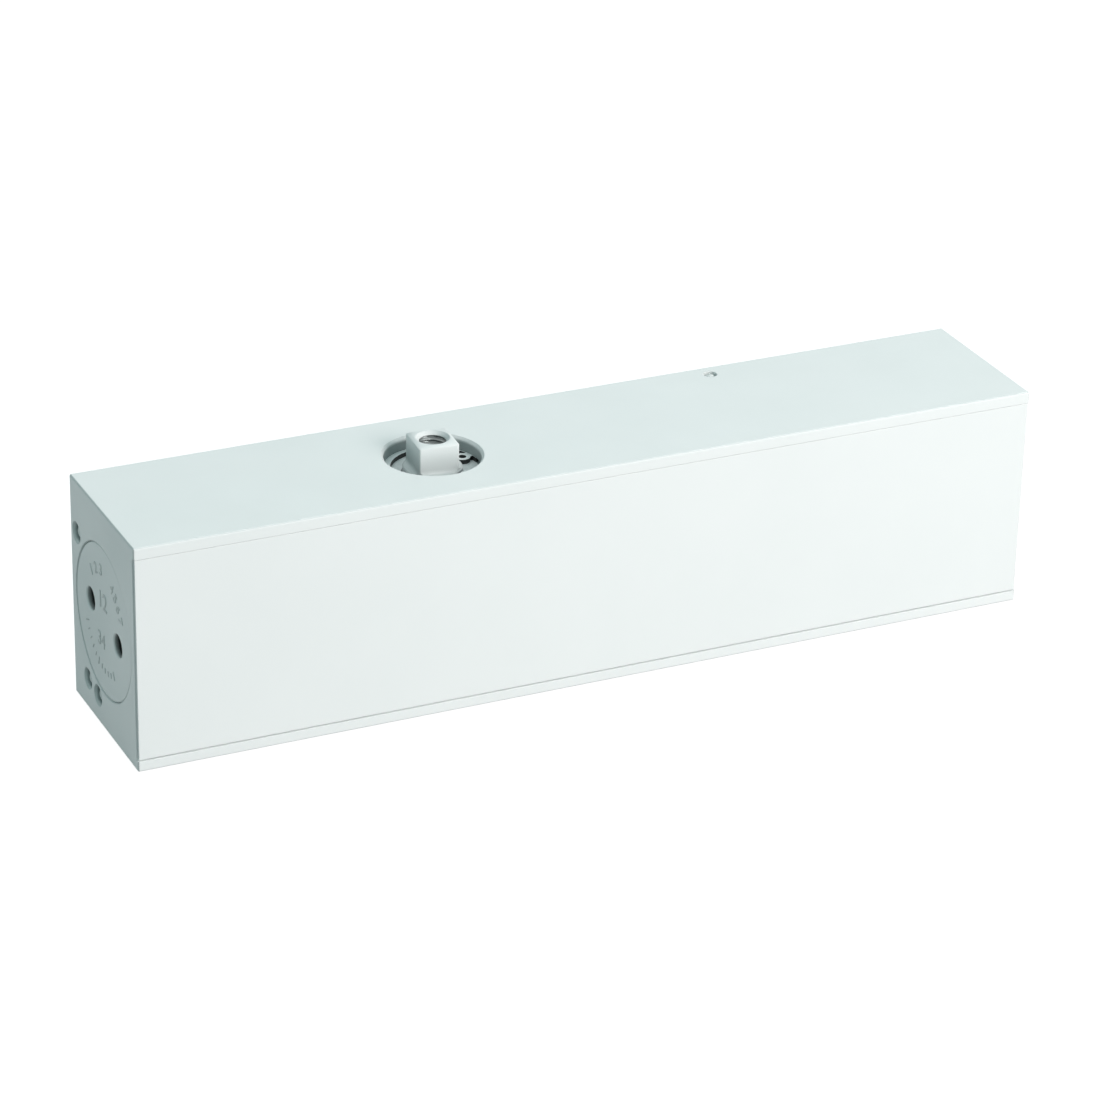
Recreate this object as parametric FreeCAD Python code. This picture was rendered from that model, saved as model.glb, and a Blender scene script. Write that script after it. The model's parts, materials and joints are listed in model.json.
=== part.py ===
import FreeCAD, Part
import math
import os

# Surface door closer body with rack, pinion, springs and oil valves.
# Millimetres. X runs along the body, +Y to the door, +Z up.
# The origin is the middle of the body's underside.

# Body
body_length = 245.0
body_depth = 46.0
body_height = 60.0
body_edge_round = 0.4
body_end_chamfer = 0.3
bore_radius = 17.5

# Running and standing clearances, and how far cutters run past a face
running_gap = 0.05
standing_gap = 0.02
axial_gap = 0.05
overcut = 1.0

# Front recess and its cover plate
roof_rim = 3.1
foot_rim = 2.8
plate_setback = 0.1
plate_thickness = 0.8
plate_back_gap = 0.1
plate_end_inset = 0.3
plate_foot_seam = 0.3
plate_roof_gap = 0.05
plate_corner_round = 0.12
stud_radius = 2.5
stud_length = 5.5
stud_hole_depth = 5.8
stud_spacing_x = 128.0
stud_spacing_z = 36.0

# Fixing screws to the door
fixing_spacing_x = 176.0
fixing_spacing_z = 43.0
fixing_hole_radius = 2.75
fixing_head_radius = 4.5
fixing_head_depth = 3.0

# End plugs
plug_flange_radius = 20.0
plug_flange_thickness = 3.0
plug_thread_radius = 18.5
plug_thread_length = 7.5
plug_nose_length = 5.0
plug_ring_wire = 1.0
plug_ring_groove_width = 2.4
plug_edge_chamfer = 0.3
plug_sink = 0.15
plug_seam = 0.12
plug_mouth_chamfer = 0.2
spanner_hole_radius = 3.0
spanner_hole_depth = 10.0
spanner_hole_pitch = 19.8
spanner_hole_tilt = 11.5
spanner_hole_chamfer = 0.3
stop_post_radius = 4.0

# Gear: module, teeth and profile shift in modules
gear_module = 2.0
gear_teeth = 9
gear_pressure_angle = 20.0
gear_shift = 0.5
gear_tip_radius = 11.5
flank_steps = 6
flank_crowding = 1.5
rack_end_inset = 0.5
rack_dedendum = 1.25
rack_backlash = 0.2
spare_rack_teeth = 3
pinion_swing = 180.0

# Arm spindle at the pinion's top
spindle_x = -35.6
spindle_rise = 4.6
square_width = 10.5
square_turn = -4.5
square_bar_radius = 7.2
square_foot_round = 1.0
square_chamfer_height = 0.5
square_chamfer_width = 0.9
collar_radius = 7.5
collar_rise = 1.8
collar_chamfer = 0.3
arm_thread_radius = 3.4
arm_thread_depth = 15.0
arm_thread_countersink = 0.9
drill_point_slope = 31.0

# Shaft recesses in roof and foot
recess_radius = 12.3
recess_chamfer = 0.6
ring_drop = 3.5
ring_thickness = 1.2
ring_groove_depth = 0.8
ring_band_width = 1.65
ring_taper = 0.9
ring_gap_turn = -14.0
ring_gap_half_angle = 18.0
ring_lug_turn = 31.0
ring_lug_radius = 2.05
ring_lug_reach = 9.8
ring_neck_width = 2.4
ring_hole_radius = 1.0
seal_disc_thickness = 1.5
seal_disc_gap = 0.2
shaft_seal_height = 3.45

# Needle bearings and thrust washers
cup_length = 6.7
cup_lip_thickness = 0.8
cup_lip_clearance = 0.3
cup_wall = 1.78
roller_count = 22
roller_side_gap = 0.1528
washer_thickness = 1.5
washer_inset = 1.0

# Lower cap
cap_thickness = 4.95
cap_ring_wire = 1.0
cap_groove_width = 2.4

# Piston
slot_end_gap = 0.9
slot_back_gap = 0.3
piston_head = 14.2
piston_tail = 13.1
piston_chamfer = 0.5
spring_spigot_radius = 7.5
spring_spigot_length = 4.0
tail_passage_radius = 2.5

# Valves inside the piston head
head_valve_offset = 8.0
head_ball_radius = 2.5
head_passage_radius = 1.75
check_seat_depth = 4.0
check_retainer_length = 2.0
check_retainer_inset = 0.5
check_retainer_radius = 3.4
check_retainer_hole = 1.4
relief_seat_depth = 4.0
relief_screw_length = 2.0
relief_screw_inset = 0.5
relief_screw_hole = 0.8
head_spring_wire = 0.3
head_spring_radius = 1.95
head_spring_turns = 3
head_end_turn_gap = 0.5

# Closing springs, wire radius and mean radius
outer_wire = 2.5
outer_mean_radius = 14.0
outer_turns = 9
inner_wire = 1.6
inner_mean_radius = 9.4
inner_turns = 14
end_turn_gap = 0.8
closed_quarters = 3
arcs_per_turn = 8
points_per_arc = 6

# Closing force adjuster
adjuster_radius = 5.0
adjuster_pitch = 1.5
adjuster_turns_in = 6.0
adjuster_turns_out = 2.0
adjuster_flange_radius = 9.0
adjuster_flange_thickness = 2.5
adjuster_washer_thickness = 1.0
adjuster_face_inset = 1.0
adjuster_end_margin = 4.0
adjuster_hex = 6.0
adjuster_hex_depth = 6.0
adjuster_ring_wire = 0.7
adjuster_ring_inset = 3.0
seat_thickness = 5.0
seat_hub_radius = 9.0
seat_hub_length = 5.0
seat_spigot_length = 3.0
seat_stop_gap = 0.4
key_width = 4.0
key_depth = 1.5
key_gap = 0.1

# Oil galleries drilled from the left end
gallery_radius = 1.5
gallery_ball_radius = 2.5
gallery_mouth_depth = 6.0
gallery_ball_inset = 0.5
gallery_mouth_chamfer = 0.4
upper_gallery_from_back = 4.25
upper_gallery_rise = 15.9
closing_gallery_y = 5.7
closing_gallery_drop = 22.9
closing_gallery_length = 18.5
latching_gallery_y = 13.0
latching_gallery_drop = 21.7
latching_gallery_length = 26.5
port_radius = 1.0
port_inset = 1.0
roof_drill_x = 50.9
roof_drill_from_back = 4.5
roof_drill_radius = 1.2
roof_ball_radius = 1.8
roof_ball_inset = 0.1
roof_mouth_depth = 3.6

# Screw valves behind the front plate
valve_drop = 22.3
back_check_rise = 22.5
closing_valve_inset = 10.5
latching_valve_inset = 22.5
valve_radius = 2.5
valve_length = 12.0
valve_needle_radius = 1.0
valve_needle_length = 5.0
valve_needle_tip_radius = 0.5
valve_sink = 0.3
valve_slot_width = 0.8
valve_slot_depth = 1.0
valve_ring_wire = 0.6
valve_ring_inset = 3.5

# Worked-out places
end_x = body_length / 2
bore_height = body_height / 2
front_y = -body_depth / 2
back_y = body_depth / 2
plate_front_y = front_y + plate_setback
plate_back_y = plate_front_y + plate_thickness
floor_y = plate_back_y + plate_back_gap
plug_length = plug_flange_thickness + plug_thread_length + plug_nose_length
left_plug_face = -end_x + plug_length
right_plug_face = end_x - plug_length

pitch_radius = gear_module * gear_teeth / 2
base_radius = pitch_radius * math.cos(math.radians(gear_pressure_angle))
gear_root_radius = pitch_radius - gear_module * (rack_dedendum - gear_shift)
rack_line = pitch_radius + gear_module * gear_shift
rack_root = rack_line + gear_module * rack_dedendum
rack_tip = rack_line - gear_module
rack_pitch = math.pi * gear_module
stroke = pitch_radius * math.radians(pinion_swing)

upper_ring_foot = body_height - ring_drop - ring_thickness
seal_disc_foot = upper_ring_foot - seal_disc_thickness
shaft_seal_foot = seal_disc_foot - shaft_seal_height
upper_cup_foot = shaft_seal_foot - axial_gap - cup_length
gear_top = upper_cup_foot - washer_thickness - 2 * axial_gap
lower_ring_top = ring_drop + ring_thickness
lower_cap_top = lower_ring_top + cap_thickness
lower_cup_foot = lower_cap_top + axial_gap
lower_cup_top = lower_cup_foot + cup_length
gear_foot = lower_cup_top + washer_thickness + 2 * axial_gap
gear_face = gear_top - gear_foot
collar_top = upper_ring_foot + collar_rise
spindle_top = body_height + spindle_rise
cup_bore = recess_radius - standing_gap - cup_wall
roller_bend = math.sin(math.pi / roller_count)
roller_path = (cup_bore - standing_gap / 2 + roller_side_gap / 2) / (1 + roller_bend)
roller_radius = roller_path * roller_bend - roller_side_gap / 2
journal_radius = roller_path - roller_radius - standing_gap / 2
washer_radius = recess_radius - washer_inset

slot_right = spindle_x + recess_radius + slot_end_gap
slot_left = spindle_x - recess_radius - slot_end_gap - stroke
piston_left = slot_left - piston_head
piston_right = slot_right + piston_tail
piston_radius = bore_radius - running_gap

adjuster_flange_right = right_plug_face - adjuster_washer_thickness - 2 * axial_gap
adjuster_flange_left = adjuster_flange_right - adjuster_flange_thickness
seat_back_travel = adjuster_turns_out * adjuster_pitch
seat_forward_travel = adjuster_turns_in * adjuster_pitch
seat_right = adjuster_flange_left - seat_back_travel - seat_stop_gap
seat_disc_right = seat_right - seat_hub_length
seat_disc_left = seat_disc_right - seat_thickness
adjuster_left = seat_disc_left - seat_spigot_length - seat_forward_travel - adjuster_end_margin
adjuster_face = end_x - adjuster_face_inset

upper_gallery_y = back_y - upper_gallery_from_back
upper_gallery_z = bore_height + upper_gallery_rise
closing_gallery_z = bore_height - closing_gallery_drop
closing_gallery_end = -end_x + closing_gallery_length
latching_gallery_z = bore_height - latching_gallery_drop
latching_gallery_end = -end_x + latching_gallery_length
roof_drill_y = back_y - roof_drill_from_back
closing_valve_x = -end_x + closing_valve_inset
latching_valve_x = -end_x + latching_valve_inset
valve_height = bore_height - valve_drop
back_check_height = bore_height + back_check_rise


def vec(x, y, z):
    return FreeCAD.Vector(x, y, z)


def rod(radius, start, end):
    """Solid cylinder from one point to another."""
    return Part.makeCylinder(radius, (end - start).Length, start, end - start)


def rod_x(radius, x0, x1, y=0.0, z=bore_height):
    return rod(radius, vec(x0, y, z), vec(x1, y, z))


def rod_y(radius, y0, y1, x, z):
    return rod(radius, vec(x, y0, z), vec(x, y1, z))


def rod_z(radius, z0, z1, x=spindle_x, y=0.0):
    return rod(radius, vec(x, y, z0), vec(x, y, z1))


def frustum(radius_start, radius_end, start, end):
    """Cone between two points."""
    return Part.makeCone(radius_start, radius_end, (end - start).Length, start, end - start)


def block(x0, x1, y0, y1, z0, z1):
    return Part.makeBox(x1 - x0, y1 - y0, z1 - z0, vec(x0, y0, z0))


def prism(points, along):
    """Straight-sided solid over a closed outline."""
    wire = Part.makePolygon(points + [points[0]])
    return Part.Face(wire).extrude(along)


def rounded_bar(x0, x1, y0, y1, z0, z1, radius):
    """Bar along X with its four long edges rounded."""
    bar = block(x0, x1, y0, y1, z0, z1)
    long_edges = [e for e in bar.Edges if abs(e.tangentAt(e.FirstParameter).x) > 0.99]
    return bar.makeFillet(radius, long_edges)


def end_edges(bar, x):
    """Edges that lie wholly in the plane of one end of a bar."""
    return [e for e in bar.Edges if e.BoundBox.XLength < 0.001 and abs(e.BoundBox.XMin - x) < 0.001]


def save(name, shape):
    shape.exportStep("parts/" + name + ".step")


def corner_places(spacing_x, spacing_z):
    """The four X and Z places of a rectangular pattern centred on the main bore."""
    signs = [(-1, -1), (1, -1), (-1, 1), (1, 1)]
    return [(sx * spacing_x / 2, bore_height + sz * spacing_z / 2) for sx, sz in signs]


# Springs

def unit(vector):
    return vector * (1.0 / vector.Length)


def arc_from_tangent(start, tangent, end):
    """Arc that leaves start along tangent and reaches end."""
    chord = end - start
    along = unit(chord)
    cosine = tangent.dot(along)
    side = tangent - along * cosine
    sagitta = chord.Length / 2 * side.Length / (1 + cosine)
    middle = (start + end) * 0.5 + unit(side) * sagitta
    return Part.Arc(start, middle, end).toShape()


def biarc(start, start_tangent, end, end_tangent):
    """Two arcs that join two points with their tangents."""
    chord = end - start
    total = start_tangent + end_tangent
    turn = 2 * (1 - start_tangent.dot(end_tangent))
    run = chord.dot(total)
    reach = (math.sqrt(run * run + turn * chord.dot(chord)) - run) / turn
    joint = (start + end + (start_tangent - end_tangent) * reach) * 0.5
    first = arc_from_tangent(start, start_tangent, joint)
    middle_of_last = arc_from_tangent(end, end_tangent * -1, joint)
    last_middle = middle_of_last.valueAt((middle_of_last.FirstParameter + middle_of_last.LastParameter) / 2)
    last = Part.Arc(joint, last_middle, end).toShape()
    return [first, last]


def coil_heights(length, wire, turns, end_gap):
    """Rises and slopes at each quarter turn: closed end turns, open ones between."""
    quarters = 4 * turns
    closed_rise = 2 * wire + end_gap
    closed = [min(index, quarters - index) <= closed_quarters for index in range(quarters + 1)]
    weights = [0.5 if index in (0, quarters) else 1.0 for index in range(quarters + 1)]
    closed_sum = sum(w for w, shut in zip(weights, closed) if shut) * closed_rise
    open_weight = sum(w for w, shut in zip(weights, closed) if not shut)
    open_rise = (4 * length - closed_sum) / open_weight
    slopes = [closed_rise if shut else open_rise for shut in closed]
    heights = [0.0]
    for index in range(quarters):
        heights.append(heights[-1] + (slopes[index] + slopes[index + 1]) / 8)
    return heights, slopes


def coil_points(x0, x1, mean_radius, wire, turns, end_gap, hand, z):
    """Points and tangents of a coil along X at each quarter turn."""
    heights, slopes = coil_heights(x1 - x0 - 2 * wire, wire, turns, end_gap)
    nodes = []
    for index, (height, slope) in enumerate(zip(heights, slopes)):
        angle = hand * index * math.pi / 2
        place = vec(x0 + wire + height, mean_radius * math.cos(angle), z + mean_radius * math.sin(angle))
        around = 2 * math.pi * mean_radius * hand
        tangent = unit(vec(slope, -around * math.sin(angle), around * math.cos(angle)))
        nodes.append((place, tangent))
    return nodes


def report_self_gap(name, edges, wire):
    """Print the least gap between neighbouring turns, measured on points."""
    points = [p for edge in edges for p in edge.discretize(points_per_arc + 1)[:-1]]
    turn = arcs_per_turn * points_per_arc
    near = min((points[i] - points[j]).Length for i in range(len(points))
               for j in range(i + turn // 2, min(i + 2 * turn, len(points))))
    print(name, "least gap between turns", round(near - 2 * wire, 3))


def coil(name, x0, x1, mean_radius, wire, turns, end_gap, hand=1, z=bore_height):
    """Round-wire compression spring along X from x0 to x1, as one unbroken tube."""
    nodes = coil_points(x0, x1, mean_radius, wire, turns, end_gap, hand, z)
    edges = []
    for (start, start_tangent), (end, end_tangent) in zip(nodes, nodes[1:]):
        edges += biarc(start, start_tangent, end, end_tangent)
    report_self_gap(name, edges, wire)
    start, tangent = nodes[0]
    section = Part.Wire([Part.makeCircle(wire, start, tangent)])
    shell = Part.BRepOffsetAPI.MakePipeShell(Part.Wire(edges))
    shell.add(section)
    shell.build()
    shell.makeSolid()
    return shell.shape()


# Housing

def shaft_recess(mouth_z, inward):
    """Round recess for the pinion's bearing, seal or cap, cut in from a face of the body."""
    deep = bore_height - mouth_z
    chamfer_top = mouth_z - inward * standing_gap
    recess = rod_z(recess_radius, mouth_z, mouth_z + deep)
    funnel = frustum(recess_radius + recess_chamfer + standing_gap, recess_radius,
                     vec(spindle_x, 0, chamfer_top),
                     vec(spindle_x, 0, mouth_z + inward * recess_chamfer))
    groove_start = mouth_z + inward * (ring_drop - standing_gap)
    groove_end = mouth_z + inward * (ring_drop + ring_thickness + standing_gap)
    groove = rod_z(recess_radius + ring_groove_depth, groove_start, groove_end)
    return [recess, funnel, groove]


def gallery(y, z, end):
    """Drilling from the left end, with the wider mouth that its ball closes."""
    mouth_end = -end_x + gallery_mouth_depth
    chamfer_start = vec(-end_x - standing_gap, y, z)
    chamfer_end = vec(-end_x + gallery_mouth_chamfer, y, z)
    wide = gallery_ball_radius + gallery_mouth_chamfer + standing_gap
    return [
        rod_x(gallery_radius, -end_x, end, y, z),
        rod_x(gallery_ball_radius, -end_x - overcut, mouth_end, y, z),
        frustum(wide, gallery_ball_radius, chamfer_start, chamfer_end),
    ]


def end_bore(side):
    """Threaded mouth and flange seat of an end plug; side is -1 at the left and 1 at the right."""
    face = side * end_x
    seat = face - side * plug_flange_thickness
    thread_end = seat - side * plug_thread_length
    mouth = plug_flange_radius + plug_seam
    funnel = frustum(mouth + plug_mouth_chamfer + standing_gap, mouth,
                     vec(face + side * standing_gap, 0, bore_height),
                     vec(face - side * plug_mouth_chamfer, 0, bore_height))
    return [
        funnel,
        rod_x(mouth, face, seat),
        rod_x(plug_thread_radius + running_gap, seat, thread_end),
    ]


def valve_bore(x, z, far_y):
    """Bore of a screw valve from the recess floor, with the oil way beyond it."""
    wide_end = floor_y + valve_sink + valve_length + axial_gap
    return [
        rod_y(valve_radius + running_gap, floor_y - overcut, wide_end, x, z),
        rod_y(gallery_radius, wide_end, far_y, x, z),
    ]


def oil_ways():
    """Galleries, ports and valve bores."""
    port_x = left_plug_face + port_radius + port_inset
    ways = gallery(upper_gallery_y, upper_gallery_z, roof_drill_x)
    ways += gallery(closing_gallery_y, closing_gallery_z, closing_gallery_end)
    ways += gallery(latching_gallery_y, latching_gallery_z, latching_gallery_end)
    ways += valve_bore(closing_valve_x, valve_height, closing_gallery_y)
    ways += valve_bore(latching_valve_x, valve_height, latching_gallery_y)
    ways += valve_bore(roof_drill_x, back_check_height, roof_drill_y)
    closing_port_x = closing_gallery_end - port_radius
    latching_port_x = latching_gallery_end - port_radius
    ways.append(rod_z(port_radius, closing_gallery_z, bore_height, closing_port_x, closing_gallery_y))
    ways.append(rod_z(port_radius, latching_gallery_z, bore_height, latching_port_x, latching_gallery_y))
    ways.append(rod_y(port_radius, 0, upper_gallery_y, port_x, upper_gallery_z))
    ways.append(rod_z(port_radius, bore_height, back_check_height, roof_drill_x, 0))
    ways.append(rod_z(roof_drill_radius, upper_gallery_z, body_height, roof_drill_x, roof_drill_y))
    ways.append(rod_z(roof_ball_radius, body_height - roof_mouth_depth, body_height + overcut,
                      roof_drill_x, roof_drill_y))
    return ways


def front_holes():
    """Fixing holes with their head seats, and the blind holes of the plate's studs."""
    holes = []
    for x, z in corner_places(fixing_spacing_x, fixing_spacing_z):
        holes.append(rod_y(fixing_hole_radius, front_y, back_y + overcut, x, z))
        holes.append(rod_y(fixing_head_radius, front_y, floor_y + fixing_head_depth, x, z))
    for x, z in corner_places(stud_spacing_x, stud_spacing_z):
        holes.append(rod_y(stud_radius + running_gap, front_y, floor_y + stud_hole_depth, x, z))
    return holes


def key_way():
    """Groove in the bore's back wall that keeps the spring seat from turning."""
    start = seat_disc_left - seat_forward_travel - seat_stop_gap
    half = key_width / 2
    return block(start, right_plug_face, 0, bore_radius + key_depth, bore_height - half, bore_height + half)


def housing():
    body = rounded_bar(-end_x, end_x, front_y, back_y, 0, body_height, body_edge_round)
    body = body.makeChamfer(body_end_chamfer, end_edges(body, -end_x) + end_edges(body, end_x))
    recess = block(-end_x, end_x, front_y, floor_y, foot_rim, body_height - roof_rim)
    cuts = [recess, rod_x(bore_radius, -end_x, end_x), key_way()]
    cuts += end_bore(-1) + end_bore(1)
    cuts += shaft_recess(body_height, -1) + shaft_recess(0, 1)
    cuts += oil_ways() + front_holes()
    return body.cut(cuts)


def front_plate():
    return rounded_bar(-end_x + plate_end_inset, end_x - plate_end_inset, plate_front_y, plate_back_y,
                       foot_rim + plate_foot_seam, body_height - roof_rim - plate_roof_gap,
                       plate_corner_round)


def plate_studs():
    end_y = plate_back_y + stud_length
    places = corner_places(stud_spacing_x, stud_spacing_z)
    return Part.makeCompound([rod_y(stud_radius, plate_back_y, end_y, x, z) for x, z in places])


def gallery_ball(y, z):
    centre_x = -end_x + gallery_ball_inset + gallery_ball_radius - standing_gap
    return Part.makeSphere(gallery_ball_radius - standing_gap, vec(centre_x, y, z))


def end_gallery_balls():
    places = [(upper_gallery_y, upper_gallery_z), (closing_gallery_y, closing_gallery_z),
              (latching_gallery_y, latching_gallery_z)]
    return Part.makeCompound([gallery_ball(y, z) for y, z in places])


def roof_gallery_ball():
    radius = roof_ball_radius - standing_gap
    return Part.makeSphere(radius, vec(roof_drill_x, roof_drill_y, body_height - roof_ball_inset - radius))


# End plugs

def plug_ring_groove_x(side):
    """Middle of the sealing ring's groove in a plug's nose."""
    return side * (end_x - plug_length + plug_nose_length / 2)


def plug_blank(side):
    """Flange, thread and grooved nose of an end plug."""
    face = side * (end_x - plug_sink)
    seat = side * (end_x - plug_flange_thickness)
    thread_end = seat - side * plug_thread_length
    nose_end = side * (end_x - plug_length)
    edge_x = face - side * plug_edge_chamfer
    flange = rod_x(plug_flange_radius, seat, edge_x)
    edge = frustum(plug_flange_radius, plug_flange_radius - plug_edge_chamfer,
                   vec(edge_x, 0, bore_height), vec(face, 0, bore_height))
    thread = rod_x(plug_thread_radius, seat, thread_end)
    nose = rod_x(bore_radius - running_gap, thread_end, nose_end)
    blank = flange.fuse([edge, thread, nose])
    middle = plug_ring_groove_x(side)
    half = plug_ring_groove_width / 2
    outside = rod_x(bore_radius + overcut, middle - half, middle + half)
    core = rod_x(bore_radius - 2 * plug_ring_wire, middle - half, middle + half)
    return blank.cut(outside.cut(core))


def spanner_holes(side):
    """Two holes for the pin spanner, with a small chamfer."""
    face = side * (end_x - plug_sink)
    holes = []
    for turn in (0, 180):
        angle = math.radians(spanner_hole_tilt + turn)
        y = spanner_hole_pitch / 2 * math.cos(angle)
        z = bore_height + spanner_hole_pitch / 2 * math.sin(angle)
        holes.append(rod_x(spanner_hole_radius, face, face - side * spanner_hole_depth, y, z))
        holes.append(frustum(spanner_hole_radius + spanner_hole_chamfer, spanner_hole_radius,
                             vec(face, y, z), vec(face - side * spanner_hole_chamfer, y, z)))
    return holes


def left_end_plug():
    """Plug with the post that stops the piston at the closed door."""
    post = rod_x(stop_post_radius, left_plug_face - overcut, piston_left - axial_gap)
    return plug_blank(-1).fuse(post).cut(spanner_holes(-1))


def right_end_plug():
    bore = rod_x(adjuster_radius + running_gap, 0, end_x)
    return plug_blank(1).cut(spanner_holes(1) + [bore])


def plug_o_ring(side):
    wire = plug_ring_wire - standing_gap
    centre = vec(plug_ring_groove_x(side), 0, bore_height)
    return Part.makeTorus(bore_radius - plug_ring_wire, wire, centre, vec(1, 0, 0))


# Closing force adjuster

def hexagon_socket():
    """Hexagonal key hole in the adjuster's outer end."""
    corner = adjuster_hex / math.sqrt(3)
    start = adjuster_face - adjuster_hex_depth
    angles = [math.radians(60 * step) for step in range(6)]
    points = [vec(start, corner * math.cos(a), bore_height + corner * math.sin(a)) for a in angles]
    return prism(points, vec(adjuster_hex_depth + overcut, 0, 0))


def adjuster_ring_x():
    return right_plug_face + adjuster_ring_inset


def adjusting_spindle():
    shank = rod_x(adjuster_radius, adjuster_left, adjuster_face)
    flange = rod_x(adjuster_flange_radius, adjuster_flange_left, adjuster_flange_right)
    middle = adjuster_ring_x()
    half = adjuster_ring_wire + running_gap
    outside = rod_x(adjuster_radius + overcut, middle - half, middle + half)
    core = rod_x(adjuster_radius - 2 * adjuster_ring_wire, middle - half, middle + half)
    return shank.fuse(flange).cut([hexagon_socket(), outside.cut(core)])


def adjusting_spindle_o_ring():
    centre = vec(adjuster_ring_x(), 0, bore_height)
    wire = adjuster_ring_wire - standing_gap
    return Part.makeTorus(adjuster_radius - adjuster_ring_wire, wire, centre, vec(1, 0, 0))


def adjuster_thrust_washer():
    start = adjuster_flange_right + axial_gap
    end = start + adjuster_washer_thickness
    return rod_x(adjuster_flange_radius, start, end).cut(rod_x(adjuster_radius + running_gap, start, end))


def spring_seat():
    """Keyed nut that presses on both closing springs."""
    disc = rod_x(bore_radius - running_gap, seat_disc_left, seat_disc_right)
    hub = rod_x(seat_hub_radius, seat_disc_right, seat_right)
    spigot = rod_x(spring_spigot_radius, seat_disc_left - seat_spigot_length, seat_disc_left)
    half = key_width / 2 - key_gap / 2
    key = block(seat_disc_left, seat_disc_right, bore_radius - key_depth, bore_radius + key_depth - key_gap,
                bore_height - half, bore_height + half)
    bore = rod_x(adjuster_radius + running_gap, seat_disc_left - seat_spigot_length, seat_right)
    return disc.fuse([hub, spigot, key]).cut(bore)


# Piston with rack

def rack_tooth(x):
    """One straight-sided rack tooth on the slot's front wall."""
    slope = math.tan(math.radians(gear_pressure_angle))
    half_line = (rack_pitch / 2 - rack_backlash) / 2
    half_tip = half_line - gear_module * slope
    root = rack_root + overcut
    half_root = half_line + (root - rack_line) * slope
    z0 = gear_foot + rack_end_inset
    points = [vec(x - half_root, -root, z0), vec(x - half_tip, -rack_tip, z0),
              vec(x + half_tip, -rack_tip, z0), vec(x + half_root, -root, z0)]
    return prism(points, vec(0, 0, gear_face - 2 * rack_end_inset))


def rack_teeth():
    """Teeth that meet the pinion from the closed to the fully open door."""
    count = math.ceil(stroke / rack_pitch) + spare_rack_teeth
    return [rack_tooth(spindle_x + (1 - index) * rack_pitch) for index in range(count)]


def head_valve_cuts():
    """Check valve above and relief valve below the piston's axis, both in its head."""
    check_z = bore_height + head_valve_offset
    relief_z = bore_height - head_valve_offset
    check_seat = slot_left - check_seat_depth
    relief_seat = piston_left + relief_seat_depth
    retainer_end = piston_left + check_retainer_inset + check_retainer_length
    ball_bore = head_ball_radius + running_gap
    return [
        rod_x(head_passage_radius, piston_left, slot_left, 0, check_z),
        rod_x(ball_bore, piston_left, check_seat, 0, check_z),
        rod_x(check_retainer_radius, piston_left, retainer_end, 0, check_z),
        rod_x(head_passage_radius, piston_left, slot_left, 0, relief_z),
        rod_x(ball_bore, relief_seat, slot_left, 0, relief_z),
    ]


def piston():
    barrel = rod_x(piston_radius, piston_left, piston_right)
    rims = [e for e in barrel.Edges if abs(e.Length - 2 * math.pi * piston_radius) < 0.01]
    barrel = barrel.makeChamfer(piston_chamfer, rims)
    slot = block(slot_left, slot_right, -rack_root, recess_radius + slot_back_gap, 0, body_height)
    spigot = rod_x(spring_spigot_radius, piston_right - overcut, piston_right + spring_spigot_length)
    passage = rod_x(tail_passage_radius, slot_right - overcut, piston_right + spring_spigot_length)
    barrel = barrel.cut(slot).fuse([spigot] + rack_teeth())
    return barrel.common(rod_x(piston_radius, piston_left, piston_right + spring_spigot_length)).cut(
        head_valve_cuts() + [passage])


def ball_seat_offset():
    """Distance from a passage's edge to the middle of the ball that closes it."""
    return math.sqrt(head_ball_radius ** 2 - head_passage_radius ** 2) + standing_gap


def check_ball_x():
    return slot_left - check_seat_depth - ball_seat_offset()


def relief_ball_x():
    return piston_left + relief_seat_depth + ball_seat_offset()


def spring_touch_offset():
    """Distance from a valve ball's middle to the middle of the first turn of its spring's wire."""
    reach = head_ball_radius + head_spring_wire + standing_gap
    return math.sqrt(reach ** 2 - head_spring_radius ** 2)


def check_valve_retainer():
    start = piston_left + check_retainer_inset
    z = bore_height + head_valve_offset
    end = start + check_retainer_length
    return rod_x(check_retainer_radius, start, end, 0, z).cut(rod_x(check_retainer_hole, start, end, 0, z))


def check_valve_ball():
    return Part.makeSphere(head_ball_radius, vec(check_ball_x(), 0, bore_height + head_valve_offset))


def check_valve_spring():
    start = piston_left + check_retainer_inset + check_retainer_length
    end = check_ball_x() - spring_touch_offset() + head_spring_wire
    return coil("check_valve_spring", start, end, head_spring_radius, head_spring_wire,
                head_spring_turns, head_end_turn_gap, 1, bore_height + head_valve_offset)


def relief_valve_ball():
    return Part.makeSphere(head_ball_radius, vec(relief_ball_x(), 0, bore_height - head_valve_offset))


def relief_screw_start():
    return slot_left - relief_screw_inset - relief_screw_length


def relief_valve_spring():
    start = relief_ball_x() + spring_touch_offset() - head_spring_wire
    return coil("relief_valve_spring", start, relief_screw_start(), head_spring_radius, head_spring_wire,
                head_spring_turns, head_end_turn_gap, 1, bore_height - head_valve_offset)


def relief_valve_screw():
    start = relief_screw_start()
    end = start + relief_screw_length
    z = bore_height - head_valve_offset
    body = rod_x(head_ball_radius + running_gap - standing_gap, start, end, 0, z)
    half = valve_slot_width / 2
    reach = head_ball_radius + overcut
    slot = block(end - valve_slot_depth, end, -reach, reach, z - half, z + half)
    return body.cut([rod_x(relief_screw_hole, start, end, 0, z), slot])


def outer_spring():
    return coil("outer_spring", piston_right, seat_disc_left, outer_mean_radius, outer_wire, outer_turns,
                end_turn_gap)


def inner_spring():
    return coil("inner_spring", piston_right, seat_disc_left, inner_mean_radius, inner_wire, inner_turns,
                end_turn_gap, -1)


# Pinion and its bearings

def polar(radius, angle):
    return vec(spindle_x + radius * math.cos(angle), radius * math.sin(angle), gear_foot)


def involute(angle):
    return math.tan(angle) - angle


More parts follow.
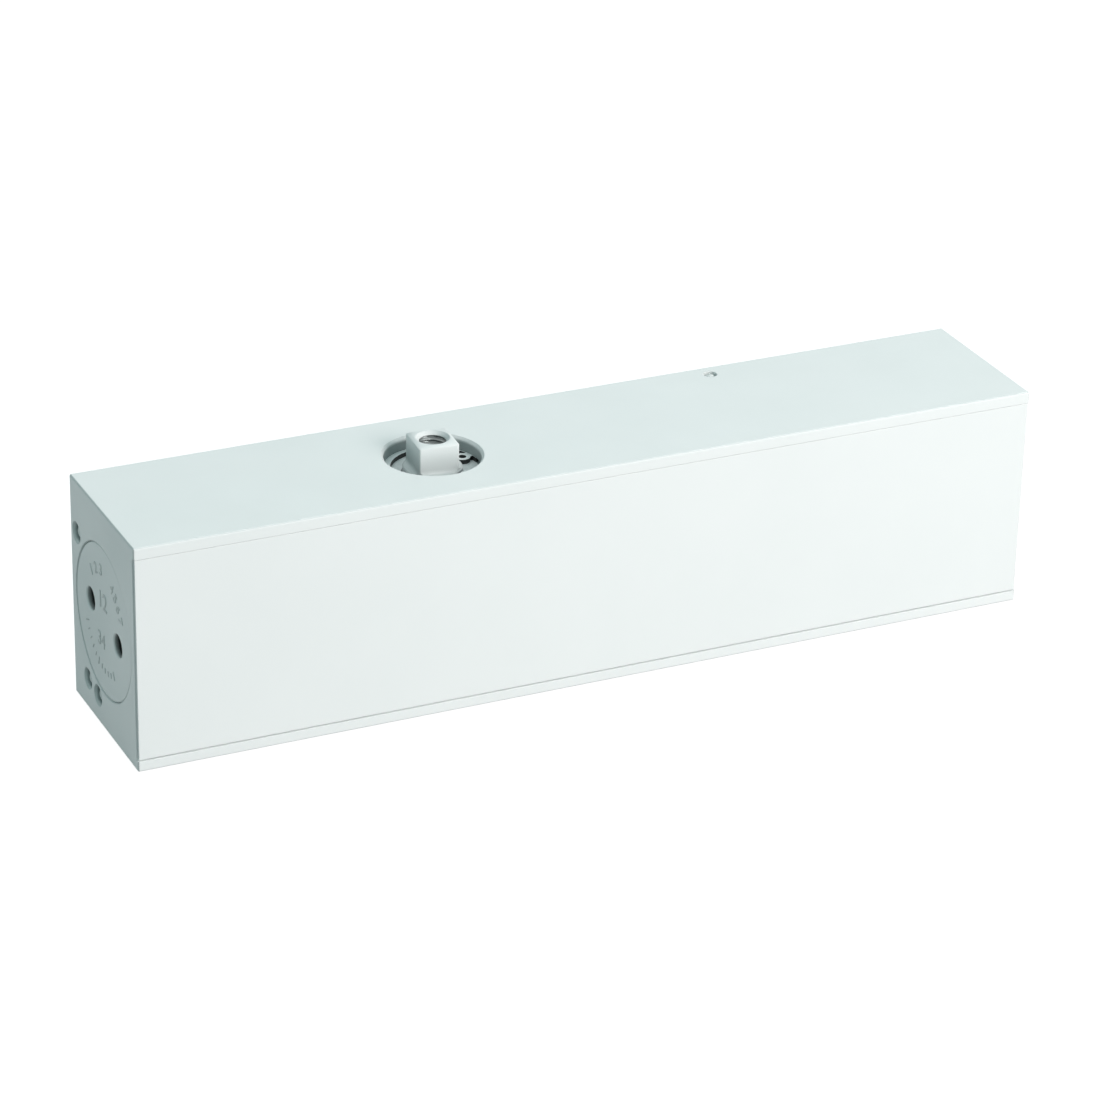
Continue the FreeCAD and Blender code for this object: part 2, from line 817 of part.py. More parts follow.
def tooth_half_angle(radius):
    """Half of a tooth's angle at a radius at or outside the base circle."""
    pressure = math.radians(gear_pressure_angle)
    thickness = gear_module * (math.pi / 2 + 2 * gear_shift * math.tan(pressure))
    roll = math.acos(min(1.0, base_radius / radius))
    return thickness / (2 * pitch_radius) + involute(pressure) - involute(roll)


def flank(centre, side):
    """Involute flank of a tooth from the base circle to its tip."""
    shares = [(step / flank_steps) ** flank_crowding for step in range(flank_steps + 1)]
    radii = [base_radius + (gear_tip_radius - base_radius) * share for share in shares]
    points = [polar(r, centre + side * tooth_half_angle(r)) for r in radii]
    curve = Part.BSplineCurve()
    curve.interpolate(points)
    return points, curve.toShape()


def gear_outline():
    """Closed outline of the pinion's teeth; at rest a gap faces the rack."""
    pitch_angle = 2 * math.pi / gear_teeth
    base_half = tooth_half_angle(base_radius)
    edges = []
    for index in range(gear_teeth):
        centre = -math.pi / 2 + (index + 0.5) * pitch_angle
        rising_points, rising = flank(centre, -1)
        falling_points, falling = flank(centre, 1)
        next_foot = centre + pitch_angle - base_half
        root_start = polar(gear_root_radius, centre + base_half)
        root_end = polar(gear_root_radius, next_foot)
        root_middle = polar(gear_root_radius, centre + pitch_angle / 2)
        edges.append(Part.makeLine(polar(gear_root_radius, centre - base_half), rising_points[0]))
        edges.append(rising)
        tip_middle = polar(gear_tip_radius, centre)
        edges.append(Part.Arc(rising_points[-1], tip_middle, falling_points[-1]).toShape())
        edges.append(falling)
        edges.append(Part.makeLine(falling_points[0], root_start))
        edges.append(Part.Arc(root_start, root_middle, root_end).toShape())
    return Part.Wire(Part.__sortEdges__(edges))


def flat_cutter(turn):
    """What one pass of the mill takes away to leave a flat of the square."""
    half = square_width / 2
    chamfer_z = spindle_top - square_chamfer_height
    top_half = half - square_chamfer_width
    over = spindle_top + overcut
    far = square_bar_radius + overcut
    foot = collar_top
    r = square_foot_round
    start_y = -square_bar_radius - overcut
    corners = [vec(half, start_y, foot + r), vec(half, start_y, chamfer_z),
               vec(top_half, start_y, spindle_top), vec(top_half, start_y, over),
               vec(far, start_y, over), vec(far, start_y, foot), vec(half + r, start_y, foot)]
    lines = [Part.makeLine(a, b) for a, b in zip(corners, corners[1:])]
    bend = r * (1 - math.sqrt(0.5))
    curve = Part.Arc(corners[-1], vec(half + bend, start_y, foot + bend), corners[0]).toShape()
    cutter = Part.Face(Part.Wire(lines + [curve])).extrude(vec(0, -2 * start_y, 0))
    cutter.rotate(vec(0, 0, 0), vec(0, 0, 1), turn)
    cutter.translate(vec(spindle_x, 0, 0))
    return cutter


def arm_bore():
    """Threaded hole for the arm's screw, with its countersink and drill point."""
    foot = spindle_top - arm_thread_depth
    point = arm_thread_radius * math.tan(math.radians(drill_point_slope))
    wide = arm_thread_radius + arm_thread_countersink
    return [
        rod_z(arm_thread_radius, foot, spindle_top),
        frustum(0.0, arm_thread_radius, vec(spindle_x, 0, foot - point), vec(spindle_x, 0, foot)),
        frustum(arm_thread_radius, wide, vec(spindle_x, 0, spindle_top - arm_thread_countersink),
                vec(spindle_x, 0, spindle_top)),
    ]


def pinion():
    teeth = Part.Face(gear_outline()).extrude(vec(0, 0, gear_face))
    chamfer_z = spindle_top - square_chamfer_height
    journal_top = seal_disc_foot - seal_disc_gap
    lower_journal = rod_z(journal_radius, lower_cup_foot + cup_lip_clearance, gear_foot)
    upper_journal = rod_z(journal_radius, gear_top, journal_top)
    collar = rod_z(collar_radius, journal_top, collar_top - collar_chamfer)
    collar_edge = frustum(collar_radius, collar_radius - collar_chamfer,
                          vec(spindle_x, 0, collar_top - collar_chamfer), vec(spindle_x, 0, collar_top))
    bar = rod_z(square_bar_radius, collar_top, chamfer_z)
    tip = frustum(square_bar_radius, square_bar_radius - square_chamfer_width,
                  vec(spindle_x, 0, chamfer_z), vec(spindle_x, 0, spindle_top))
    blank = teeth.fuse([lower_journal, upper_journal, collar, collar_edge, bar, tip])
    flats = [flat_cutter(square_turn + 90 * step) for step in range(4)]
    return blank.cut(flats + arm_bore())


def bearing_cup(foot):
    """Drawn cup of a needle bearing, with a lip at each end."""
    top = foot + cup_length
    shell = rod_z(recess_radius - standing_gap, foot, top)
    lips = rod_z(journal_radius + cup_lip_clearance, foot, top)
    inside = rod_z(cup_bore, foot + cup_lip_thickness, top - cup_lip_thickness)
    return shell.cut([lips, inside])


def rollers(foot):
    """Full set of needle rollers in a cup."""
    z0 = foot + cup_lip_thickness + axial_gap
    z1 = foot + cup_length - cup_lip_thickness - axial_gap
    angles = [2 * math.pi * index / roller_count for index in range(roller_count)]
    places = [(spindle_x + roller_path * math.cos(a), roller_path * math.sin(a)) for a in angles]
    return Part.makeCompound([rod_z(roller_radius, z0, z1, x, y) for x, y in places])


def thrust_washer(foot):
    top = foot + washer_thickness
    return rod_z(washer_radius, foot, top).cut(rod_z(journal_radius + running_gap, foot, top))


def thrust_washers():
    return Part.makeCompound([thrust_washer(gear_top + axial_gap),
                              thrust_washer(lower_cup_top + axial_gap)])


def upper_shaft_seal():
    body = rod_z(recess_radius - standing_gap, shaft_seal_foot, seal_disc_foot)
    return body.cut(rod_z(journal_radius + running_gap, shaft_seal_foot, seal_disc_foot))


def upper_seal_disc():
    body = rod_z(recess_radius - standing_gap, seal_disc_foot, upper_ring_foot)
    return body.cut(rod_z(collar_radius + seal_disc_gap, seal_disc_foot, upper_ring_foot))


def retaining_ring(foot):
    """Internal circlip with an eye at each side of its gap, its band tapering towards the gap."""
    top = foot + ring_thickness
    outer = recess_radius + ring_groove_depth - running_gap
    inner = outer - ring_band_width
    turn = math.radians(ring_gap_turn)
    inside = rod_z(inner, foot, top, spindle_x + ring_taper * math.cos(turn), ring_taper * math.sin(turn))
    band = rod_z(outer, foot, top).cut(inside)
    eyes = []
    holes = []
    for side in (-1, 1):
        angle = math.radians(ring_gap_turn + side * ring_lug_turn)
        x = spindle_x + ring_lug_reach * math.cos(angle)
        y = ring_lug_reach * math.sin(angle)
        neck = block(spindle_x + ring_lug_reach, spindle_x + outer - ring_groove_depth / 2,
                     -ring_neck_width / 2, ring_neck_width / 2, foot, top)
        neck.rotate(vec(spindle_x, 0, 0), vec(0, 0, 1), math.degrees(angle))
        eyes += [rod_z(ring_lug_radius, foot, top, x, y), neck]
        holes.append(rod_z(ring_hole_radius, foot, top, x, y))
    gap_angle = math.radians(ring_gap_half_angle)
    gap_wedge = prism([vec(0, 0, foot),
                       vec(outer * 2, -outer * 2 * math.tan(gap_angle), foot),
                       vec(outer * 2, outer * 2 * math.tan(gap_angle), foot)],
                      vec(0, 0, ring_thickness))
    gap_wedge.rotate(vec(0, 0, 0), vec(0, 0, 1), ring_gap_turn)
    gap_wedge.translate(vec(spindle_x, 0, 0))
    return band.fuse(eyes).cut(holes + [gap_wedge])


def cap_groove_z():
    return (lower_ring_top + lower_cap_top) / 2


def lower_cap():
    """Closed cap under the pinion, grooved for its sealing ring."""
    radius = recess_radius - standing_gap
    half = cap_groove_width / 2
    body = rod_z(radius, lower_ring_top, lower_cap_top)
    outside = rod_z(radius + overcut, cap_groove_z() - half, cap_groove_z() + half)
    core = rod_z(recess_radius - 2 * cap_ring_wire, cap_groove_z() - half, cap_groove_z() + half)
    return body.cut(outside.cut(core))


def lower_cap_o_ring():
    wire = cap_ring_wire - standing_gap
    centre = vec(spindle_x, 0, cap_groove_z())
    return Part.makeTorus(recess_radius - cap_ring_wire, wire, centre, vec(0, 0, 1))


# Screw valves

def screw_valve(x, z):
    """Slotted valve screw with a groove for its ring and a tapered needle."""
    start = floor_y + valve_sink
    end = start + valve_length
    ring_y = start + valve_ring_inset
    half_groove = valve_ring_wire + running_gap
    half_slot = valve_slot_width / 2
    body = rod_y(valve_radius, start, end, x, z)
    needle = frustum(valve_needle_radius, valve_needle_tip_radius, vec(x, end, z),
                     vec(x, end + valve_needle_length, z))
    outside = rod_y(valve_radius + overcut, ring_y - half_groove, ring_y + half_groove, x, z)
    core = rod_y(valve_radius - 2 * valve_ring_wire, ring_y - half_groove, ring_y + half_groove, x, z)
    reach = valve_radius + overcut
    slot = block(x - reach, x + reach, start, start + valve_slot_depth, z - half_slot, z + half_slot)
    return body.fuse(needle).cut([outside.cut(core), slot])


def screw_valve_ring(x, z):
    centre = vec(x, floor_y + valve_sink + valve_ring_inset, z)
    wire = valve_ring_wire - standing_gap
    return Part.makeTorus(valve_radius - valve_ring_wire, wire, centre, vec(0, 1, 0))


def main():
    os.makedirs("parts", exist_ok=True)
    save("housing", housing())
    save("front_plate", front_plate())
    save("plate_studs", plate_studs())
    save("end_gallery_balls", end_gallery_balls())
    save("roof_gallery_ball", roof_gallery_ball())
    save("left_end_plug", left_end_plug())
    save("left_plug_o_ring", plug_o_ring(-1))
    save("right_end_plug", right_end_plug())
    save("right_plug_o_ring", plug_o_ring(1))
    save("adjusting_spindle", adjusting_spindle())
    save("adjusting_spindle_o_ring", adjusting_spindle_o_ring())
    save("adjuster_thrust_washer", adjuster_thrust_washer())
    save("spring_seat", spring_seat())
    save("outer_spring", outer_spring())
    save("inner_spring", inner_spring())
    save("piston", piston())
    save("check_valve_retainer", check_valve_retainer())
    save("check_valve_ball", check_valve_ball())
    save("check_valve_spring", check_valve_spring())
    save("relief_valve_ball", relief_valve_ball())
    save("relief_valve_spring", relief_valve_spring())
    save("relief_valve_screw", relief_valve_screw())
    save("pinion", pinion())
    save("upper_bearing_cup", bearing_cup(upper_cup_foot))
    save("upper_rollers", rollers(upper_cup_foot))
    save("lower_bearing_cup", bearing_cup(lower_cup_foot))
    save("lower_rollers", rollers(lower_cup_foot))
    save("thrust_washers", thrust_washers())
    save("upper_shaft_seal", upper_shaft_seal())
    save("upper_seal_disc", upper_seal_disc())
    save("upper_retaining_ring", retaining_ring(upper_ring_foot))
    save("lower_cap", lower_cap())
    save("lower_cap_o_ring", lower_cap_o_ring())
    save("lower_retaining_ring", retaining_ring(ring_drop))
    save("closing_valve", screw_valve(closing_valve_x, valve_height))
    save("closing_valve_o_ring", screw_valve_ring(closing_valve_x, valve_height))
    save("latching_valve", screw_valve(latching_valve_x, valve_height))
    save("latching_valve_o_ring", screw_valve_ring(latching_valve_x, valve_height))
    save("back_check_valve", screw_valve(roof_drill_x, back_check_height))
    save("back_check_valve_o_ring", screw_valve_ring(roof_drill_x, back_check_height))


main()
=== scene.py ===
"""Dressed model of a surface door closer: paint, bare metal, thread, dials, springs and light."""
import json
import logging
import math
from dataclasses import dataclass, field
from enum import Enum
from typing import Any, Optional, Sequence, Union

import bmesh
import bpy
from mathutils import Matrix, Vector

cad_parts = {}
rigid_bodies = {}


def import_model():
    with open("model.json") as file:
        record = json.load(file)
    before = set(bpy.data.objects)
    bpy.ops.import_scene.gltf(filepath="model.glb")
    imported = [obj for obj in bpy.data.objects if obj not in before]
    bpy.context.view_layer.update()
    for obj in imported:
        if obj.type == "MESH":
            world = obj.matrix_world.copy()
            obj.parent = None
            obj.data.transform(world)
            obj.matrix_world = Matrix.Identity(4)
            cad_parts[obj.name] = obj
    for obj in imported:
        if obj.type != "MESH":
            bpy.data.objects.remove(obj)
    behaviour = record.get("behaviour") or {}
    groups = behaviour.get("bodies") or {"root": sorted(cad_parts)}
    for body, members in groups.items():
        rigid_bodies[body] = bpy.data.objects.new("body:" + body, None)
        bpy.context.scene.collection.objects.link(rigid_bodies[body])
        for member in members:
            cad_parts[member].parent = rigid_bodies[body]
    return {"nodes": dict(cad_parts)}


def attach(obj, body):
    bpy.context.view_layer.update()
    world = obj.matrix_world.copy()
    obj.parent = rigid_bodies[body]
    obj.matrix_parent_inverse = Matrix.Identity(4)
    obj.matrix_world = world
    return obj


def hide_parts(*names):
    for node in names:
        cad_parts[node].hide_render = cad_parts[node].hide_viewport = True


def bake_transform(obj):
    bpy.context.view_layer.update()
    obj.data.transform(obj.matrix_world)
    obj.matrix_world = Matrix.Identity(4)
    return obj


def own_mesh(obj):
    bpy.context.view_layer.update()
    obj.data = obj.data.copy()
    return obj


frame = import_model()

logging.basicConfig(level=logging.INFO, format="%(name)s: %(message)s")
log = logging.getLogger("door_closer")

RGB = tuple[float, float, float]
Place = tuple[float, float, float]
Feed = Union[float, int, tuple, Vector, bpy.types.NodeSocket]

BODY = "closer_body"
SPINDLE_X = -0.0356
BORE_Z = 0.03
ROOF_Z = 0.06
END_X = -0.1225
PLUG_FACE_X = 0.12235
SPANNER_PITCH = 0.0198
SPANNER_TILT = 11.5
WELD = 0.0000005
UPWARD: Place = (0.0, 0.0, 1.0)
RELIEF_OUTPUTS = {"Height": "NodeSocketFloat", "Tone": "NodeSocketFloat"}
MASK_OUTPUT = {"Mask": "NodeSocketFloat"}


class Lay(Enum):
    """Direction in which a tool has left its marks."""

    NONE = "none"
    TURNED = "turned"
    DRAWN = "drawn"
    CAST = "cast"


class Axis(Enum):
    """Main directions of the closer."""

    ALONG = (1.0, 0.0, 0.0)
    UP = UPWARD


class NodeSheet:
    """Adds nodes to one tree and joins them."""

    def __init__(self, tree: bpy.types.NodeTree) -> None:
        """Empty the shader or geometry tree and start on it."""
        self.tree = tree
        self.tree.nodes.clear()

    def add(self, kind: str, inputs: Optional[dict[Any, Feed]] = None, **settings: Any) -> bpy.types.Node:
        """Add a node.

        Args:
            kind: The node's type name.
            inputs: Values or sockets by input name or number.
            settings: Properties of the node itself.

        Returns:
            The new node.
        """
        node = self.tree.nodes.new(kind)
        for name, value in settings.items():
            setattr(node, name, value)
        for key, value in (inputs or {}).items():
            self.feed(node.inputs[key], value)
        return node

    def feed(self, socket: bpy.types.NodeSocket, value: Feed) -> None:
        """Give a socket a plain value, or join an output socket to it."""
        if isinstance(value, bpy.types.NodeSocket):
            self.tree.links.new(value, socket)
        else:
            socket.default_value = value

    def math(self, operation: str, *values: Feed) -> bpy.types.NodeSocket:
        """Add one arithmetic step.

        Args:
            operation: Name of the operation.
            values: Its operands in order.

        Returns:
            The result's socket.
        """
        return self.add("ShaderNodeMath", dict(enumerate(values)), operation=operation).outputs[0]

    def vector(self, operation: str, *values: Feed) -> bpy.types.NodeSocket:
        """Add one vector step.

        Args:
            operation: Name of the operation.
            values: Its operands in order.

        Returns:
            The result's socket, a number for a length or a dot product.
        """
        node = self.add("ShaderNodeVectorMath", dict(enumerate(values)), operation=operation)
        return node.outputs["Value" if operation in ("LENGTH", "DOT_PRODUCT") else "Vector"]

    def ramp(self, value: Feed, low: float, high: float, to_low: float = 0.0,
             to_high: float = 1.0) -> bpy.types.NodeSocket:
        """Stretch a range onto another one, clamped.

        Args:
            value: What is stretched.
            low: Value that becomes to_low.
            high: Value that becomes to_high.
            to_low: Start of the new range.
            to_high: End of the new range.

        Returns:
            The result's socket.
        """
        inputs = {"Value": value, "From Min": low, "From Max": high, "To Min": to_low, "To Max": to_high}
        return self.add("ShaderNodeMapRange", inputs, clamp=True).outputs["Result"]

    def scaled(self, vector: Feed, factor: Feed) -> bpy.types.NodeSocket:
        """Return a vector times a number."""
        inputs = {0: vector, "Scale": factor}
        return self.add("ShaderNodeVectorMath", inputs, operation="SCALE").outputs["Vector"]

    def spot(self, x: Feed = 0.0, y: Feed = 0.0, z: Feed = 0.0) -> bpy.types.NodeSocket:
        """Return a vector of three numbers."""
        return self.add("ShaderNodeCombineXYZ", {0: x, 1: y, 2: z}).outputs[0]

    def about_axis(self, place: Feed, axis: Feed) -> tuple[bpy.types.NodeSocket, bpy.types.NodeSocket]:
        """Return how far a place lies along an axis, and how far off it."""
        along = self.vector("DOT_PRODUCT", place, axis)
        return along, self.vector("LENGTH", self.vector("SUBTRACT", place, self.scaled(axis, along)))

    def clamped(self, value: Feed) -> bpy.types.NodeSocket:
        """Return a value held between 0 and 1."""
        return self.math("MINIMUM", self.math("MAXIMUM", value, 0.0), 1.0)

    def noise(self, place: Feed, scale: Feed, detail: float = 2.0) -> bpy.types.NodeSocket:
        """Add soft noise over space.

        Args:
            place: Coordinates.
            scale: Waves per metre.
            detail: Octaves.

        Returns:
            The noise's value socket.
        """
        inputs = {"Vector": place, "Scale": scale, "Detail": detail}
        return self.add("ShaderNodeTexNoise", inputs).outputs[0]

    def waves(self, place: Feed, size: Feed, detail: float) -> bpy.types.NodeSocket:
        """Return soft noise whose waves have a size in metres."""
        return self.noise(place, self.math("DIVIDE", 1.0, size), detail)

    def blend(self, share: Feed, first: Feed, second: Feed) -> bpy.types.NodeSocket:
        """Return the blend of two colours, the first one at share 0."""
        return self.add("ShaderNodeMix", {0: share, 6: first, 7: second}, data_type="RGBA").outputs[2]

    def object_place(self) -> bpy.types.NodeSocket:
        """Return the socket of the object's own coordinates."""
        return self.add("ShaderNodeTexCoord").outputs["Object"]

    def normal(self) -> bpy.types.NodeSocket:
        """Return the socket of the surface's normal."""
        return self.add("ShaderNodeNewGeometry").outputs["Normal"]

    def rise(self) -> bpy.types.NodeSocket:
        """Return the upward share of the surface's normal."""
        return self.vector("DOT_PRODUCT", self.normal(), UPWARD)


def opaque(colour: RGB) -> tuple[float, float, float, float]:
    """Return a colour with full alpha."""
    return (*colour, 1.0)


def open_group(name: str, inputs: dict[str, Feed], outputs: dict[str, str]) -> tuple[NodeSheet, Any, Any]:
    """Make a shader node group with named sockets.

    Args:
        name: The group's name.
        inputs: Default value of each input; a tuple makes a vector socket.
        outputs: Socket type of each output.

    Returns:
        The group's sheet, its inputs' sockets and its output node.
    """
    tree = bpy.data.node_groups.new(name, "ShaderNodeTree")
    for label, value in inputs.items():
        kind = "NodeSocketVector" if isinstance(value, tuple) else "NodeSocketFloat"
        tree.interface.new_socket(name=label, in_out="INPUT", socket_type=kind).default_value = value
    for label, kind in outputs.items():
        tree.interface.new_socket(name=label, in_out="OUTPUT", socket_type=kind)
    sheet = NodeSheet(tree)
    return sheet, sheet.add("NodeGroupInput").outputs, sheet.add("NodeGroupOutput")


class EffectGroups:
    """Shader groups that several finishes share."""

    waver_scale = 260.0
    waver_share = 0.6
    band_rate = 0.21
    ragged_scale = 1400.0
    ragged_depth = 0.0002
    dust_falloff = 3.0

    def __init__(self) -> None:
        """Build every group once."""
        self.powder_film = self.build_powder_film()
        self.edge_round = self.build_edge_round()
        self.turning = self.build_turning()
        self.drawing = self.build_drawing()
        self.cast_grain = self.build_cast_grain()
        self.settled_dust = self.build_settled_dust()
        self.bare_and_shade_well = self.build_bare_and_shade_well()
        self.level_faces = self.build_level_faces()
        self.round_mask = self.build_round_mask()

    def build_powder_film(self) -> bpy.types.NodeTree:
        """Return the group of a baked powder paint's slightly rippled skin."""
        sheet, given, end = open_group(
            "Powder Film", {"Ripple Size": 0.001, "Speck Size": 0.0002, "Mottle Size": 0.03},
            RELIEF_OUTPUTS)
        place = sheet.object_place()
        ripple = sheet.waves(place, given["Ripple Size"], 1.0)
        fine = sheet.math("MULTIPLY", sheet.waves(place, given["Speck Size"], 2.0), 0.25)
        mottle = sheet.waves(place, given["Mottle Size"], 3.0)
        sheet.feed(end.inputs["Height"], sheet.math("MULTIPLY_ADD", ripple, 0.75, fine))
        sheet.feed(end.inputs["Tone"], sheet.ramp(mottle, 0.34, 0.66))
        return sheet.tree

    def build_edge_round(self) -> bpy.types.NodeTree:
        """Return the group of an edge's rounding and the mask of its worn or thin film; on paint it also
        carries a painted highlight.
        """
        sheet, given, end = open_group(
            "Edge Round", {"Width": 0.0003, "Breakup Size": 0.002, "Strength": 1.0},
            {**MASK_OUTPUT, "Normal": "NodeSocketVector"})
        bevel = sheet.add("ShaderNodeBevel", {"Radius": given["Width"]}, samples=6).outputs[0]
        bend = sheet.math("SUBTRACT", 1.0, sheet.vector("DOT_PRODUCT", bevel, sheet.normal()))
        near = sheet.ramp(bend, 0.02, 0.25)
        broken = sheet.waves(sheet.object_place(), given["Breakup Size"], 3.0)
        worn = sheet.math("MULTIPLY", near, sheet.ramp(broken, 0.3, 0.6, 0.35, 1.0))
        sheet.feed(end.inputs["Mask"], sheet.math("MULTIPLY", worn, given["Strength"]))
        sheet.feed(end.inputs["Normal"], bevel)
        return sheet.tree

    def build_turning(self) -> bpy.types.NodeTree:
        """Return the group of the rings that a lathe leaves round an axis."""
        sheet, given, end = open_group(
            "Turning Marks", {"Centre": (0.0, 0.0, 0.0), "Axis": (1.0, 0.0, 0.0), "Pitch": 0.0002},
            RELIEF_OUTPUTS)
        place = sheet.vector("SUBTRACT", sheet.object_place(), given["Centre"])
        along, radial = sheet.about_axis(place, given["Axis"])
        waver = sheet.math("MULTIPLY", sheet.noise(place, self.waver_scale, 1.0), self.waver_share)
        travel = sheet.math("DIVIDE", sheet.math("ADD", along, radial), given["Pitch"])
        turn = sheet.math("MULTIPLY", sheet.math("ADD", travel, waver), math.tau)
        wave = sheet.math("SINE", turn)
        sheet.feed(end.inputs["Height"], sheet.math("MULTIPLY_ADD", wave, 0.5, 0.5))
        inputs = {"W": sheet.math("MULTIPLY", travel, self.band_rate), "Detail": 3.0}
        band = sheet.add("ShaderNodeTexNoise", inputs, noise_dimensions="1D").outputs[0]
        sheet.feed(end.inputs["Tone"], sheet.ramp(band, 0.3, 0.7))
        return sheet.tree

    def build_drawing(self) -> bpy.types.NodeTree:
        """Return the group of the fine lines that a die leaves along a part."""
        sheet, given, end = open_group("Drawn Lines", {"Stretch": (40.0, 2600.0, 2600.0)}, RELIEF_OUTPUTS)
        place = sheet.vector("MULTIPLY", sheet.object_place(), given["Stretch"])
        lines = sheet.noise(place, 1.0, 3.0)
        sheet.feed(end.inputs["Height"], lines)
        sheet.feed(end.inputs["Tone"], sheet.ramp(sheet.noise(place, 0.23, 2.0), 0.32, 0.68))
        return sheet.tree

    def build_cast_grain(self) -> bpy.types.NodeTree:
        """Return the group of the grain of ground iron or moulded rubber."""
        sheet, given, end = open_group(
            "Cast Grain", {"Grain Size": 0.0006, "Mottle Size": 0.008}, RELIEF_OUTPUTS)
        place = sheet.object_place()
        scale = sheet.math("DIVIDE", 1.0, given["Grain Size"])
        pits = sheet.add("ShaderNodeTexVoronoi", {"Vector": place, "Scale": scale}, feature="SMOOTH_F1")
        soft = sheet.math("MULTIPLY", sheet.noise(place, scale, 3.0), 0.5)
        sheet.feed(end.inputs["Height"], sheet.math("MULTIPLY_ADD", pits.outputs[0], 0.5, soft))
        mottle = sheet.waves(place, given["Mottle Size"], 3.0)
        sheet.feed(end.inputs["Tone"], sheet.ramp(mottle, 0.32, 0.68))
        return sheet.tree

    def build_settled_dust(self) -> bpy.types.NodeTree:
        """Return the group of the thin dust that settles on faces that look up."""
        sheet, given, end = open_group("Settled Dust", {"Amount": 0.1, "Patch Size": 0.02}, MASK_OUTPUT)
        up = sheet.math("POWER", sheet.math("MAXIMUM", sheet.rise(), 0.0), self.dust_falloff)
        patches = sheet.waves(sheet.object_place(), given["Patch Size"], 5.0)
        settled = sheet.math("MULTIPLY", up, sheet.ramp(patches, 0.35, 0.75))
        sheet.feed(end.inputs["Mask"], sheet.math("MULTIPLY", settled, given["Amount"]))
        return sheet.tree

    def build_bare_and_shade_well(self) -> bpy.types.NodeTree:
        """Return the group that masks a round hole's inside from a depth on, for a painted shade there and
        for bare metal where the paint doesn't reach.
        """
        sheet, given, end = open_group(
            "Bare And Shade Well", {"Mouth": (0.0, 0.0, 0.0), "Outward": UPWARD, "Radius": 0.003,
                          "Start": 0.0003, "Fade": 0.0006, "Reach": 0.012}, MASK_OUTPUT)
        place = sheet.vector("SUBTRACT", sheet.object_place(), given["Mouth"])
        out, radial = sheet.about_axis(place, given["Outward"])
        depth = sheet.math("MULTIPLY", out, -1.0)
        ragged = sheet.math("MULTIPLY", sheet.noise(place, self.ragged_scale, 2.0), self.ragged_depth)
        past = sheet.math("SUBTRACT", sheet.math("ADD", depth, ragged), given["Start"])
        deep = sheet.clamped(sheet.math("DIVIDE", past, given["Fade"]))
        near = sheet.math("LESS_THAN", radial, given["Radius"])
        short = sheet.math("LESS_THAN", depth, given["Reach"])
        sheet.feed(end.inputs["Mask"], sheet.math("MULTIPLY", deep, sheet.math("MULTIPLY", near, short)))
        return sheet.tree

    def build_level_faces(self) -> bpy.types.NodeTree:
        """Return the group that masks level faces, which may be spared part of a well's painted shade."""
        sheet, given, end = open_group("Level Faces", {"Lowest": 0.45, "Highest": 0.75}, MASK_OUTPUT)
        level = sheet.math("ABSOLUTE", sheet.rise())
        span = sheet.math("SUBTRACT", given["Highest"], given["Lowest"])
        share = sheet.math("DIVIDE", sheet.math("SUBTRACT", level, given["Lowest"]), span)
        sheet.feed(end.inputs["Mask"], sheet.clamped(share))
        return sheet.tree

    def build_round_mask(self) -> bpy.types.NodeTree:
        """Return the group that masks rounded edges and chamfers, which get a painted shade and a duller
        gloss.
        """
        sheet, given, end = open_group("Round Mask", {"Lowest": 0.02, "Highest": 0.2}, MASK_OUTPUT)
        parts = sheet.add("ShaderNodeSeparateXYZ", {0: sheet.vector("ABSOLUTE", sheet.normal())}).outputs
        squarest = sheet.math("MAXIMUM", sheet.math("MAXIMUM", parts[0], parts[1]), parts[2])
        lean = sheet.math("SUBTRACT", 1.0, squarest)
        sheet.feed(end.inputs["Mask"], sheet.ramp(lean, given["Lowest"], given["Highest"]))
        return sheet.tree


@dataclass(frozen=True)
class Well:
    """A round place along an axis whose inside takes a darker colour with its depth: painted shade, and
    bare metal where the paint reaches less.
    """

    mouth: Place
    outward: Place
    radius: float
    start: float
    fade: float
    colour: RGB


@dataclass(frozen=True)
class Marks:
    """Tool marks on a surface."""

    lay: Lay = Lay.NONE
    centre: Place = (0.0, 0.0, 0.0)
    axis: Axis = Axis.ALONG
    pitch: float = 0.0003
    stretch: Place = (40.0, 2600.0, 2600.0)
    depth: float = 0.000002

    def sockets(self, sheet: NodeSheet, effects: EffectGroups) -> Optional[Any]:
        """Add the group for these marks and return its outputs, or None without marks."""
        trees = {Lay.TURNED: effects.turning, Lay.DRAWN: effects.drawing, Lay.CAST: effects.cast_grain}
        values: dict[Lay, dict[Any, Feed]] = {
            Lay.TURNED: {"Centre": self.centre, "Axis": self.axis.value, "Pitch": self.pitch},
            Lay.DRAWN: {"Stretch": self.stretch},
            Lay.CAST: {"Grain Size": self.pitch},
        }
        if self.lay is Lay.NONE:
            return None
        group = sheet.add("ShaderNodeGroup", node_tree=trees[self.lay])
        for label, value in values[self.lay].items():
            sheet.feed(group.inputs[label], value)
        return group.outputs


